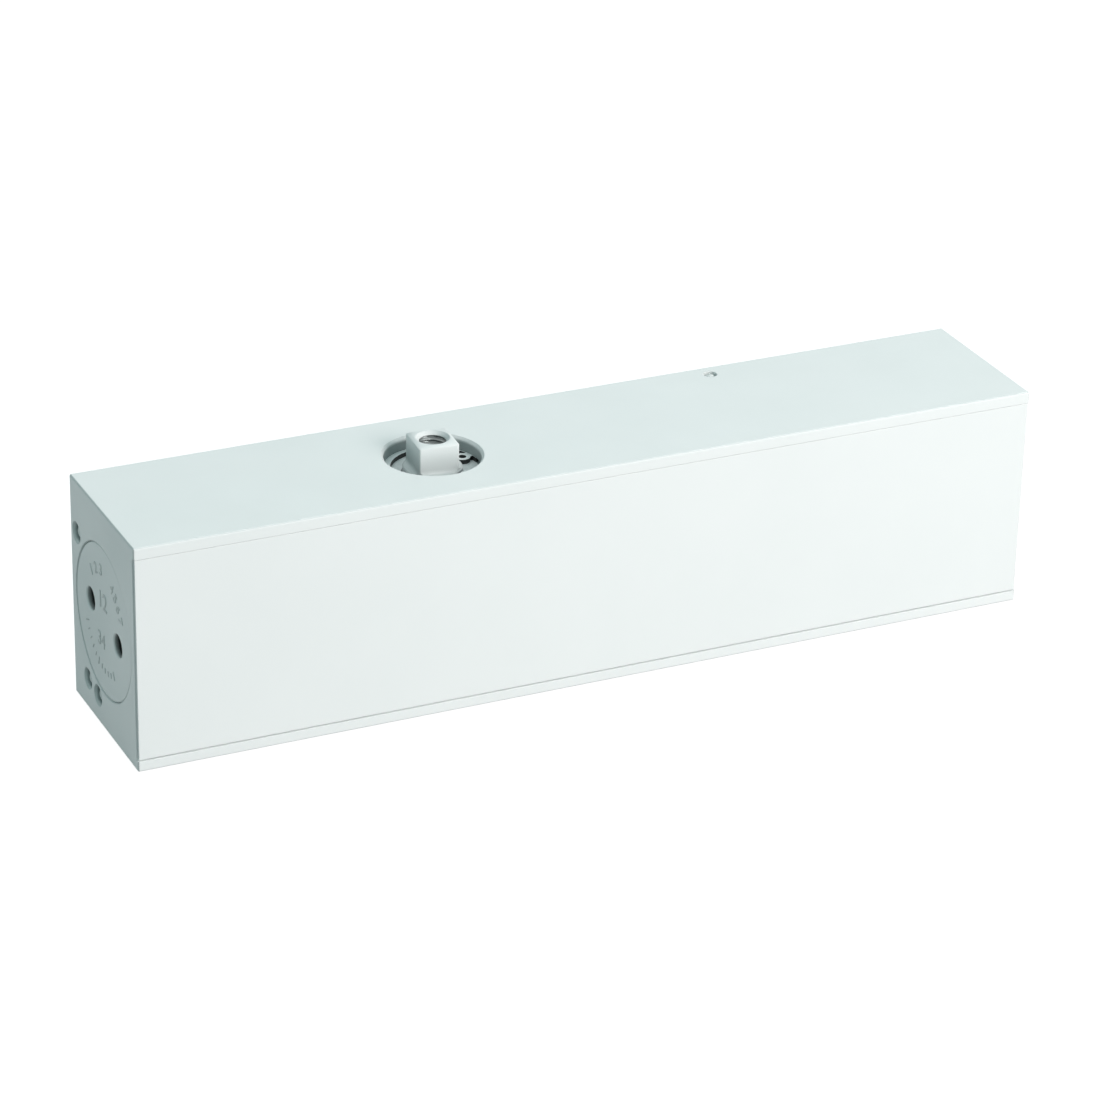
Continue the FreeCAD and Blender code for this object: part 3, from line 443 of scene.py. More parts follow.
class Surface:
    """One material: its sheet, its shader and the bump that feeds the shader."""

    def __init__(self, label: str) -> None:
        """Start a material of this name."""
        self.material = bpy.data.materials.new(label)
        self.material.use_nodes = True
        self.sheet = NodeSheet(self.material.node_tree)
        self.shader = self.sheet.add("ShaderNodeBsdfPrincipled")
        end = self.sheet.add("ShaderNodeOutputMaterial")
        self.sheet.feed(end.inputs["Surface"], self.shader.outputs[0])

    def group(self, tree: bpy.types.NodeTree, **values: Feed) -> Any:
        """Place a shared group.

        Args:
            tree: The group.
            values: Its inputs, with _ for a space.

        Returns:
            The group's outputs.
        """
        node = self.sheet.add("ShaderNodeGroup", node_tree=tree)
        for label, value in values.items():
            self.sheet.feed(node.inputs[label.replace("_", " ")], value)
        return node.outputs

    def raise_by(self, height: Feed, depth: float, normal: Optional[Feed] = None) -> bpy.types.NodeSocket:
        """Add a bump of a real depth.

        Args:
            height: Height from 0 to 1.
            depth: What height 1 stands for, in metres.
            normal: Normal to start from.

        Returns:
            The bumped normal.
        """
        bump = self.sheet.add("ShaderNodeBump", {"Strength": 1.0, "Distance": depth, "Height": height})
        if normal is not None:
            self.sheet.feed(bump.inputs["Normal"], normal)
        return bump.outputs["Normal"]

    def set(self, **values: Feed) -> None:
        """Set or join the shader's own sockets, with _ for a space."""
        for label, value in values.items():
            self.sheet.feed(self.shader.inputs[label.replace("_", " ")], value)


@dataclass(frozen=True)
class PaintFinish:
    """Baked powder paint over metal."""

    label: str
    colour: RGB = (0.862, 0.887, 0.882)
    mottle: RGB = (0.846, 0.874, 0.869)
    # Edge colour, a touch lighter: thin film, partly a painted highlight.
    edge_film_and_highlight: RGB = (0.872, 0.893, 0.888)
    roughness: float = 0.44
    ripple_size: float = 0.0014
    ripple_depth: float = 0.000008
    edge_width: float = 0.0003
    dust: float = 0.10
    marks: Marks = field(default_factory=Marks)
    wells: tuple[Well, ...] = ()
    level_share: float = 1.0
    # Rounded edges and chamfers: a painted shade that damps their highlight, and a duller gloss.
    round_shade_and_dull: float = 0.0
    round_shade_colour: RGB = (0.70, 0.725, 0.72)
    dull_rough: float = 0.35
    dust_colour: RGB = (0.74, 0.74, 0.72)
    dust_rough: float = 0.6
    edge_strength: float = 0.8
    smoother: float = 0.03
    rougher: float = 0.04

    def make(self, effects: EffectGroups) -> bpy.types.Material:
        """Return the material, made of the shared groups."""
        surface = Surface(self.label)
        sheet = surface.sheet
        film = surface.group(effects.powder_film, Ripple_Size=self.ripple_size)
        edge = surface.group(effects.edge_round, Width=self.edge_width, Strength=self.edge_strength)
        dust = surface.group(effects.settled_dust, Amount=self.dust)
        colour = sheet.blend(film["Tone"], opaque(self.colour), opaque(self.mottle))
        rounds = sheet.math("MULTIPLY", surface.group(effects.round_mask)["Mask"], self.round_shade_and_dull)
        # Lighter edges: thin film, partly a painted highlight.
        colour = sheet.blend(edge["Mask"], colour, opaque(self.edge_film_and_highlight))
        # Painted shade on rounded edges and chamfers.
        colour = sheet.blend(rounds, colour, opaque(self.round_shade_colour))
        colour = sheet.blend(dust["Mask"], colour, opaque(self.dust_colour))
        colour = self.bared_and_shaded(surface, effects, colour)
        rough = sheet.ramp(film["Tone"], 0.0, 1.0, self.roughness - self.smoother,
                           self.roughness + self.rougher)
        rough = sheet.math("MULTIPLY_ADD", dust["Mask"], self.dust_rough, rough)
        rough = sheet.math("MULTIPLY_ADD", rounds, self.dull_rough, rough)
        normal = surface.raise_by(film["Height"], self.ripple_depth, edge["Normal"])
        tool = self.marks.sockets(sheet, effects)
        if tool is not None:
            normal = surface.raise_by(tool["Height"], self.marks.depth, normal)
        surface.set(Base_Color=colour, Roughness=rough, Normal=normal, IOR=1.5)
        return surface.material

    def bared_and_shaded(self, surface: Surface, effects: EffectGroups, colour: Feed) -> Feed:
        """Darken the wells from a depth on: painted shade, and bare metal where the paint doesn't reach.

        Args:
            surface: The material.
            effects: The shared groups.
            colour: The paint's colour.

        Returns:
            The colour with its painted shade and bare places.
        """
        sheet = surface.sheet
        # Level faces, lit from above, can be spared part of the painted shade by level_share.
        reach = surface.group(effects.level_faces)["Mask"]
        share = sheet.math("MULTIPLY_ADD", reach, self.level_share - 1.0, 1.0)
        # Each well blends in its darker colour: painted shade, with bare metal in places.
        for well in self.wells:
            bare = surface.group(effects.bare_and_shade_well, Mouth=well.mouth, Outward=well.outward,
                                 Radius=well.radius, Start=well.start, Fade=well.fade)
            colour = sheet.blend(sheet.math("MULTIPLY", bare["Mask"], share), colour, opaque(well.colour))
        return colour


@dataclass(frozen=True)
class MetalFinish:
    """Bare or plated metal with its tool marks."""

    label: str
    colour: RGB
    shade: RGB
    bright_edge: RGB
    marks: Marks
    roughness: float = 0.3
    edge_width: float = 0.0002
    edge_breakup: float = 0.0012
    edge_polish: float = 0.08
    grain_size: float = 0.0004
    grain_depth: float = 0.0000015
    mottle_size: float = 0.006
    smoother: float = 0.06
    rougher: float = 0.08

    def make(self, effects: EffectGroups) -> bpy.types.Material:
        """Return the material, made of the shared groups."""
        surface = Surface(self.label)
        sheet = surface.sheet
        edge = surface.group(effects.edge_round, Width=self.edge_width, Breakup_Size=self.edge_breakup)
        grain = surface.group(effects.cast_grain, Grain_Size=self.grain_size, Mottle_Size=self.mottle_size)
        tool = self.marks.sockets(sheet, effects) or grain
        share = sheet.math("MULTIPLY_ADD", grain["Tone"], 0.5, sheet.math("MULTIPLY", tool["Tone"], 0.5))
        colour = sheet.blend(share, opaque(self.colour), opaque(self.shade))
        colour = sheet.blend(edge["Mask"], colour, opaque(self.bright_edge))
        rough = sheet.ramp(share, 0.0, 1.0, self.roughness - self.smoother, self.roughness + self.rougher)
        rough = sheet.math("SUBTRACT", rough, sheet.math("MULTIPLY", edge["Mask"], self.edge_polish))
        normal = surface.raise_by(tool["Height"], self.marks.depth, edge["Normal"])
        normal = surface.raise_by(grain["Height"], self.grain_depth, normal)
        surface.set(Base_Color=colour, Roughness=rough, Normal=normal, Metallic=1.0)
        return surface.material


@dataclass(frozen=True)
class MouldedFinish:
    """Rubber or nylon out of a mould."""

    label: str
    colour: RGB
    bloom: RGB
    roughness: float
    grain_size: float = 0.0003
    grain_depth: float = 0.000006
    mottle_size: float = 0.004
    edge_width: float = 0.0002
    edge_breakup: float = 0.001
    edge_bloom: float = 0.4
    smoother: float = 0.05
    rougher: float = 0.07

    def make(self, effects: EffectGroups) -> bpy.types.Material:
        """Return the material, made of the shared groups."""
        surface = Surface(self.label)
        sheet = surface.sheet
        edge = surface.group(effects.edge_round, Width=self.edge_width, Breakup_Size=self.edge_breakup)
        grain = surface.group(effects.cast_grain, Grain_Size=self.grain_size, Mottle_Size=self.mottle_size)
        colour = sheet.blend(grain["Tone"], opaque(self.colour), opaque(self.bloom))
        bloom = sheet.math("MULTIPLY", edge["Mask"], self.edge_bloom)
        colour = sheet.blend(bloom, colour, opaque(self.bloom))
        rough = sheet.ramp(grain["Tone"], 0.0, 1.0, self.roughness - self.smoother,
                           self.roughness + self.rougher)
        normal = surface.raise_by(grain["Height"], self.grain_depth, edge["Normal"])
        surface.set(Base_Color=colour, Roughness=rough, Normal=normal, IOR=1.52)
        return surface.material


Finish = Union[PaintFinish, MetalFinish, MouldedFinish]


def turned(axis: Axis, centre: Place, pitch: float = 0.00025, depth: float = 0.000003) -> Marks:
    """Return lathe marks round an axis through a centre."""
    return Marks(Lay.TURNED, centre, axis, pitch, depth=depth)


class Wardrobe:
    """Every finish of the closer, made once and handed out by name."""

    on_bore: Place = (0.0, 0.0, BORE_Z)
    on_spindle: Place = (SPINDLE_X, 0.0, 0.0)
    shaft_mouth = 0.0133
    spanner_mouth = 0.0032
    gallery_mouth = 0.00295
    gallery_places = ((0.01875, 0.0459), (0.0057, 0.0071), (0.0130, 0.0083))

    def __init__(self) -> None:
        """Build the shared groups and every material."""
        effects = EffectGroups()
        self.materials = {finish.label: finish.make(effects) for finish in self.finishes()}

    def finishes(self) -> list[Finish]:
        """Return every finish of the closer."""
        steel: RGB = (0.56, 0.57, 0.58)
        dark_steel: RGB = (0.42, 0.43, 0.45)
        bright: RGB = (0.74, 0.75, 0.77)
        return [
            # The body's wells darken the shaft recess, the gallery mouths and the roof ball's hole: painted
            # shade, with bare metal in the recess.
            PaintFinish("white_body", round_shade_and_dull=1.0,
                        wells=self.shaft_wells() + self.gallery_wells(0.0005) + self.roof_ball_well()),
            PaintFinish("white_plate", roughness=0.42, ripple_size=0.0018, ripple_depth=0.000007, dust=0.0,
                        round_shade_and_dull=1.0),
            # The plug's spanner holes go near black inside: painted shade over metal that the paint doesn't
            # reach.
            PaintFinish("white_plug", roughness=0.46, dust=0.0, wells=self.spanner_wells(),
                        marks=turned(Axis.ALONG, self.on_bore, 0.0004, 0.000004)),
            # The dial's raised numbers and ticks are painted darker than the plug: painted shade of their
            # relief.
            PaintFinish("dial_painted_shade", colour=(0.60, 0.635, 0.63), mottle=(0.54, 0.575, 0.57),
                        edge_film_and_highlight=(0.66, 0.69, 0.685), roughness=0.46, dust=0.0),
            # The ball is painted darker than the body and darker still in its mouth: painted shade.
            PaintFinish("white_ball", colour=(0.76, 0.795, 0.79), mottle=(0.68, 0.715, 0.71),
                        edge_film_and_highlight=(0.76, 0.79, 0.785), roughness=0.5, ripple_size=0.0006, edge_width=0.0002,
                        dust=0.0, wells=self.gallery_wells(0.0010)),
            # The spindle's well is a painted shade that deepens down its sides into the recess; level faces
            # take half of it.
            PaintFinish("white_spindle", colour=(0.80, 0.83, 0.825), mottle=(0.775, 0.805, 0.80),
                        roughness=0.4, ripple_size=0.0011, ripple_depth=0.000005, edge_width=0.00035,
                        dust=0.05, wells=self.shaft_wells(-0.0042, 0.0088, (0.43, 0.465, 0.462)),
                        level_share=0.5, round_shade_and_dull=0.8),
            # The ring is painted a touch lighter than the body, painted light in the dim recess; its side
            # faces go near black, its level faces stay white.
            PaintFinish("white_ring", colour=(0.88, 0.905, 0.90), mottle=(0.84, 0.87, 0.865), roughness=0.5,
                        ripple_size=0.0008, edge_width=0.0001, level_share=0.0,
                        wells=self.shaft_wells(0.0, 0.0001, (0.018, 0.02, 0.02)),
                        marks=turned(Axis.UP, self.on_spindle, 0.0003, 0.000003)),
            # The disc is painted a touch lighter than the body: painted light in the dim recess.
            PaintFinish("white_disc", colour=(0.88, 0.905, 0.90), mottle=(0.82, 0.85, 0.845),
                        roughness=0.48, ripple_size=0.0009,
                        marks=turned(Axis.UP, self.on_spindle, 0.00045, 0.000006)),
            # The thread's lighter crest edges are a painted highlight.
            MetalFinish("cut_thread", (0.44, 0.49, 0.485), (0.20, 0.23, 0.23), (0.74, 0.78, 0.77),
                        turned(Axis.UP, self.on_spindle, 0.00016), roughness=0.45, edge_width=0.0001),
            MetalFinish("gear_steel", steel, dark_steel, bright,
                        turned(Axis.UP, self.on_spindle, 0.0003), roughness=0.3),
            MetalFinish("zinc_turned", (0.66, 0.67, 0.69), (0.52, 0.53, 0.56), (0.8, 0.81, 0.83),
                        turned(Axis.ALONG, self.on_bore, 0.0003), roughness=0.32),
            MetalFinish("oiled_iron", (0.30, 0.30, 0.31), (0.2, 0.2, 0.205), (0.5, 0.5, 0.52),
                        turned(Axis.ALONG, self.on_bore, 0.0006, 0.000002), roughness=0.34),
            MetalFinish("ground_steel", (0.68, 0.69, 0.71), (0.58, 0.59, 0.62), (0.8, 0.81, 0.83),
                        turned(Axis.UP, self.on_spindle, 0.00012, 0.0000006), roughness=0.2),
            MetalFinish("tempered_wire", (0.24, 0.235, 0.24), (0.15, 0.15, 0.165), (0.4, 0.4, 0.42),
                        Marks(Lay.CAST, pitch=0.0009), roughness=0.38),
            MetalFinish("washer_brass", (0.70, 0.54, 0.29), (0.56, 0.42, 0.22), (0.82, 0.68, 0.42),
                        turned(Axis.UP, self.on_spindle, 0.0005), roughness=0.34),
            MetalFinish("valve_brass", (0.76, 0.60, 0.32), (0.62, 0.48, 0.25), (0.88, 0.74, 0.46),
                        Marks(Lay.DRAWN, stretch=(2600.0, 50.0, 2600.0)), roughness=0.28),
            MouldedFinish("nitrile", (0.022, 0.022, 0.024), (0.05, 0.05, 0.052), 0.48),
            MouldedFinish("nylon", (0.74, 0.75, 0.72), (0.80, 0.81, 0.79), 0.42, grain_size=0.0006),
        ]

    def shaft_wells(self, start: float = 0.0006, fade: float = 0.0008,
                    colour: RGB = (0.30, 0.34, 0.34)) -> tuple[Well, ...]:
        """Return the shaft recesses in roof and foot, darker from a depth on: painted shade, with bare
        metal where the paint thins out.
        """
        roof = (SPINDLE_X, 0.0, ROOF_Z)
        return (Well(roof, UPWARD, self.shaft_mouth, start, fade, colour),
                Well(self.on_spindle, (0.0, 0.0, -1.0), self.shaft_mouth, start, fade, colour))

    def gallery_wells(self, start: float) -> tuple[Well, ...]:
        """Return the painted shade in the mouths of the left end's galleries, from a depth on."""
        # Painted shade colour of the gallery mouths.
        bare = (0.34, 0.39, 0.39)
        return tuple(Well((END_X, y, z), (-1.0, 0.0, 0.0), self.gallery_mouth, start, 0.0007, bare)
                     for y, z in self.gallery_places)

    def roof_ball_well(self) -> tuple[Well, ...]:
        """Return a painted shade on the back wall of the roof ball's hole, which damps its highlight."""
        # Painted shade on the hole's back wall.
        film = (0.60, 0.63, 0.625)
        return (Well((0.0503, 0.0202, ROOF_Z), UPWARD, 0.0014, 0.0002, 0.0001, film),)

    def spanner_wells(self) -> tuple[Well, ...]:
        """Return the insides of the plugs' spanner holes, near black from a depth on: painted shade over
        metal that the paint doesn't reach.
        """
        reach = SPANNER_PITCH / 2
        across = reach * math.cos(math.radians(SPANNER_TILT))
        rise = reach * math.sin(math.radians(SPANNER_TILT))
        # Near black: painted shade over bare metal.
        dark = (0.022, 0.027, 0.027)
        return tuple(Well((side * PLUG_FACE_X, way * across, BORE_Z + way * rise), (float(side), 0.0, 0.0),
                          self.spanner_mouth, 0.0002, 0.0013, dark)
                     for side in (-1, 1) for way in (-1, 1))

    def dress(self, node: str, label: str) -> None:
        """Give a CAD node the finish of this name."""
        mesh = frame["nodes"][node].data
        mesh.materials.clear()
        mesh.materials.append(self.materials[label])
        log.info("%s wears %s", node, label)


def linked(name: str, data: Optional[bpy.types.ID]) -> bpy.types.Object:
    """Return a new object of the scene that carries the data."""
    thing = bpy.data.objects.new(name, data)
    bpy.context.scene.collection.objects.link(thing)
    return thing


def plain_mesh(carrier: bpy.types.Object) -> bpy.types.Mesh:
    """Return the final mesh of an object, which is removed."""
    bpy.context.view_layer.update()
    graph = bpy.context.evaluated_depsgraph_get()
    mesh = bpy.data.meshes.new_from_object(carrier.evaluated_get(graph))
    bpy.data.objects.remove(carrier)
    return mesh


def settled(name: str, form: bmesh.types.BMesh, *finishes: bpy.types.Material) -> bpy.types.Mesh:
    """Turn a form into a mesh. Its finishes come first, so that its faces keep their numbers.

    Args:
        name: The mesh's name.
        form: The form, which is freed.
        finishes: The mesh's materials in order.

    Returns:
        The mesh.
    """
    mesh = bpy.data.meshes.new(name)
    for finish in finishes:
        mesh.materials.append(finish)
    form.to_mesh(mesh)
    form.free()
    return mesh


def open_edges(form: bmesh.types.BMesh) -> int:
    """Return how many edges of a form don't join two faces."""
    return sum(1 for edge in form.edges if not edge.is_manifold)


def new_piece(name: str, mesh: bpy.types.Mesh, body: Optional[str]) -> bpy.types.Object:
    """Put a finished mesh in the scene as a piece.

    Args:
        name: The piece's name.
        mesh: Its mesh, already in place.
        body: The CAD body that it moves with, or None for a piece left without one.

    Returns:
        The piece.
    """
    mesh.name = name
    piece = linked(name, mesh)
    if body is not None:
        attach(piece, body)
    log.info("%s has %d faces and rides on %s", name, len(mesh.polygons), body or "two bodies")
    return piece


def shade(mesh: bpy.types.Mesh, degrees: float = 32.0) -> None:
    """Shade a mesh smooth, but for edges sharper than an angle."""
    mesh.shade_smooth()
    mesh.set_sharp_from_angle(angle=math.radians(degrees))


class GrowTree:
    """A geometry node tree with named inputs that is baked to a plain mesh."""

    def __init__(self, name: str, inputs: dict[str, Union[float, int]]) -> None:
        """Open a tree of this name, with the default value of each input."""
        self.tree = bpy.data.node_groups.new(name, "GeometryNodeTree")
        self.keys: dict[str, str] = {}
        for label, value in inputs.items():
            kind = "NodeSocketInt" if isinstance(value, int) else "NodeSocketFloat"
            socket = self.tree.interface.new_socket(name=label, in_out="INPUT", socket_type=kind)
            socket.default_value = value
            self.keys[label] = socket.identifier
        face = self.tree.interface
        finish = face.new_socket(name="Finish", in_out="INPUT", socket_type="NodeSocketMaterial")
        self.keys["Finish"] = finish.identifier
        face.new_socket(name="Geometry", in_out="OUTPUT", socket_type="NodeSocketGeometry")
        self.sheet = NodeSheet(self.tree)
        self.given = self.sheet.add("NodeGroupInput").outputs

    def close(self, geometry: bpy.types.NodeSocket) -> None:
        """End the tree in what it has built, made real and given its finish."""
        real = self.sheet.add("GeometryNodeRealizeInstances", {0: geometry}).outputs[0]
        dressed = self.sheet.add("GeometryNodeSetMaterial",
                                 {"Geometry": real, "Material": self.given["Finish"]})
        self.sheet.feed(self.sheet.add("NodeGroupOutput").inputs["Geometry"], dressed.outputs[0])

    def bake(self, finish: bpy.types.Material, **values: Union[float, int]) -> bpy.types.Mesh:
        """Grow the geometry once and keep it as a mesh.

        Args:
            finish: The material of the faces.
            values: Inputs by name, with _ for a space.

        Returns:
            The plain mesh.
        """
        carrier = linked("carrier", bpy.data.meshes.new("carrier"))
        modifier = carrier.modifiers.new("Grow", "NODES")
        modifier.node_group = self.tree
        modifier[self.keys["Finish"]] = finish
        for label, value in values.items():
            modifier[self.keys[label.replace("_", " ")]] = value
        return plain_mesh(carrier)


@dataclass
class ArmSpindle:
    """The pinion with its square top: a copy of the CAD solid with a real thread in its bore."""

    bore_radius: float = 0.0034
    groove_depth: float = 0.00056
    thread_pitch: float = 0.00125
    bore_foot: float = 0.0496
    bore_head: float = 0.0637
    lead_in: float = 0.00008
    around: int = 72
    rings_per_turn: int = 12
    paint_from: float = 0.0566
    rim_chamfer: float = 0.0001
    sharp_angle: float = 30.0
    touch: float = 0.00002
    groove_bottom: float = 0.14
    groove_side: float = 0.88
    runout_turns: float = 0.35

    def thread_tree(self) -> GrowTree:
        """Return the tree of a threaded bore wall, with its sizes as inputs."""
        grown = GrowTree("Thread Wall", {
            "Around": 72, "Rings": 100, "Radius": 0.0034, "Groove": 0.0005, "Pitch": 0.00125,
            "Foot": 0.0, "Length": 0.014, "Centre": 0.0})
        sheet, given = grown.sheet, grown.given
        across = sheet.math("ADD", given["Around"], 1)
        grid = sheet.add("GeometryNodeMeshGrid", {"Size X": 1.0, "Size Y": 1.0, "Vertices X": across,
                                                  "Vertices Y": given["Rings"]})
        place = sheet.add("ShaderNodeSeparateXYZ", {0: sheet.add("GeometryNodeInputPosition").outputs[0]})
        turn = sheet.math("ADD", place.outputs["X"], 0.5)
        rise = sheet.math("ADD", place.outputs["Y"], 0.5)
        height = sheet.math("MULTIPLY", rise, given["Length"])
        turns = sheet.math("DIVIDE", height, given["Pitch"])
        phase = sheet.math("FRACT", sheet.math("SUBTRACT", turns, turn))
        crest = sheet.math("ABSOLUTE", sheet.math("MULTIPLY_ADD", phase, 2.0, -1.0))
        groove = sheet.ramp(crest, self.groove_bottom, self.groove_side, 1.0, 0.0)
        left = sheet.math("DIVIDE", sheet.math("SUBTRACT", given["Length"], height), given["Pitch"])
        fade = sheet.ramp(sheet.math("MINIMUM", turns, left), 0.0, self.runout_turns)
        depth = sheet.math("MULTIPLY", sheet.math("MULTIPLY", groove, fade), given["Groove"])
        radius = sheet.math("ADD", given["Radius"], depth)
        angle = sheet.math("MULTIPLY", turn, math.tau)
        x = sheet.math("MULTIPLY_ADD", sheet.math("COSINE", angle), radius, given["Centre"])
        y = sheet.math("MULTIPLY", sheet.math("SINE", angle), radius)
        z = sheet.math("ADD", height, given["Foot"])
        placed = sheet.add("GeometryNodeSetPosition", {"Geometry": grid.outputs["Mesh"],
                                                       "Position": sheet.spot(x, y, z)})
        grown.close(placed.outputs[0])
        return grown

    def wall(self, finish: bpy.types.Material) -> bpy.types.Mesh:
        """Return the threaded wall in its finish, a little short of the bore's two rims."""
        length = self.bore_head - self.bore_foot - 2 * self.lead_in
        rings = int(length / self.thread_pitch * self.rings_per_turn) + 1
        return self.thread_tree().bake(
            finish, Around=self.around, Rings=rings, Radius=self.bore_radius, Groove=self.groove_depth,
            Pitch=self.thread_pitch, Foot=self.bore_foot + self.lead_in, Length=length, Centre=SPINDLE_X)

    def off_axis(self, point: Vector) -> float:
        """Return a point's distance from the spindle's axis."""
        return math.hypot(point.x - SPINDLE_X, point.y)

    def in_plain_wall(self, face: bmesh.types.BMFace) -> bool:
        """Return whether a face belongs to the bore's plain wall."""
        return all(abs(self.off_axis(v.co) - self.bore_radius) < self.touch
                   and self.bore_foot - self.touch < v.co.z < self.bore_head + self.touch
                   for v in face.verts)

    def rim(self, solid: bmesh.types.BMesh, height: float) -> list[bmesh.types.BMEdge]:
        """Return the edges of the open rim at a height."""
        return [edge for edge in solid.edges if edge.is_boundary
                and all(abs(v.co.z - height) < self.touch / 2 for v in edge.verts)]

    def solid_mesh(self, wall: bpy.types.Mesh) -> bmesh.types.BMesh:
        """Return a copy of the CAD solid with the threaded wall in its bore."""
        source = frame["nodes"]["pinion"].data
        solid = bmesh.new()
        corners = [solid.verts.new(v.co) for v in source.vertices]
        for polygon in source.polygons:
            solid.faces.new([corners[i] for i in polygon.vertices])
        bmesh.ops.remove_doubles(solid, verts=solid.verts, dist=WELD)
        plain = [face for face in solid.faces if self.in_plain_wall(face)]
        bmesh.ops.delete(solid, geom=plain, context="FACES")
        solid.from_mesh(wall)
        bmesh.ops.remove_doubles(solid, verts=solid.verts, dist=WELD)
        for height, inset in ((self.bore_foot, self.lead_in), (self.bore_head, -self.lead_in)):
            edges = self.rim(solid, height) + self.rim(solid, height + inset)
            bmesh.ops.bridge_loops(solid, edges=edges)
        bmesh.ops.recalc_face_normals(solid, faces=solid.faces)
        return solid

    def finish_of(self, face: bmesh.types.BMFace) -> int:
        """Return 0 for a painted face, 1 for bare steel and 2 for the thread."""
        middle = face.calc_center_median()
        in_bore = self.off_axis(middle) < self.bore_radius + self.groove_depth
        if in_bore and middle.z < self.bore_head - self.rim_chamfer:
            return 2
        return 0 if middle.z > self.paint_from else 1

    def build(self, wardrobe: Wardrobe) -> bpy.types.Object:
        """Build the spindle and let it stand for the CAD pinion."""
        solid = self.solid_mesh(self.wall(wardrobe.materials["cut_thread"]))
        for face in solid.faces:
            face.material_index = self.finish_of(face)
        log.info("arm_spindle has %d open edges", open_edges(solid))
        finishes = (wardrobe.materials[label] for label in ("white_spindle", "gear_steel", "cut_thread"))
        mesh = settled("arm_spindle", solid, *finishes)
        shade(mesh, self.sharp_angle)
        piece = new_piece("arm_spindle", mesh, "arm_pinion")
        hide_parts("pinion")
        return piece


@dataclass(frozen=True)
class Numeral:
    """One raised number on a dial, in the dial's own plane."""

    text: str
    x: float
    y: float
    height: float
    turn: float = 0.0


def on_arc(text: str, degrees: float, radius: float, height: float) -> Numeral:
    """Place a number on an arc, its top outwards.

    Args:
        text: The number.
        degrees: Its angle on the dial, counter-clockwise from the right.
        radius: Distance from the dial's centre.
        height: Height of its digits.

    Returns:
        The placed number.
    """
    angle = math.radians(degrees)
    return Numeral(text, radius * math.cos(angle), radius * math.sin(angle), height, degrees - 90.0)


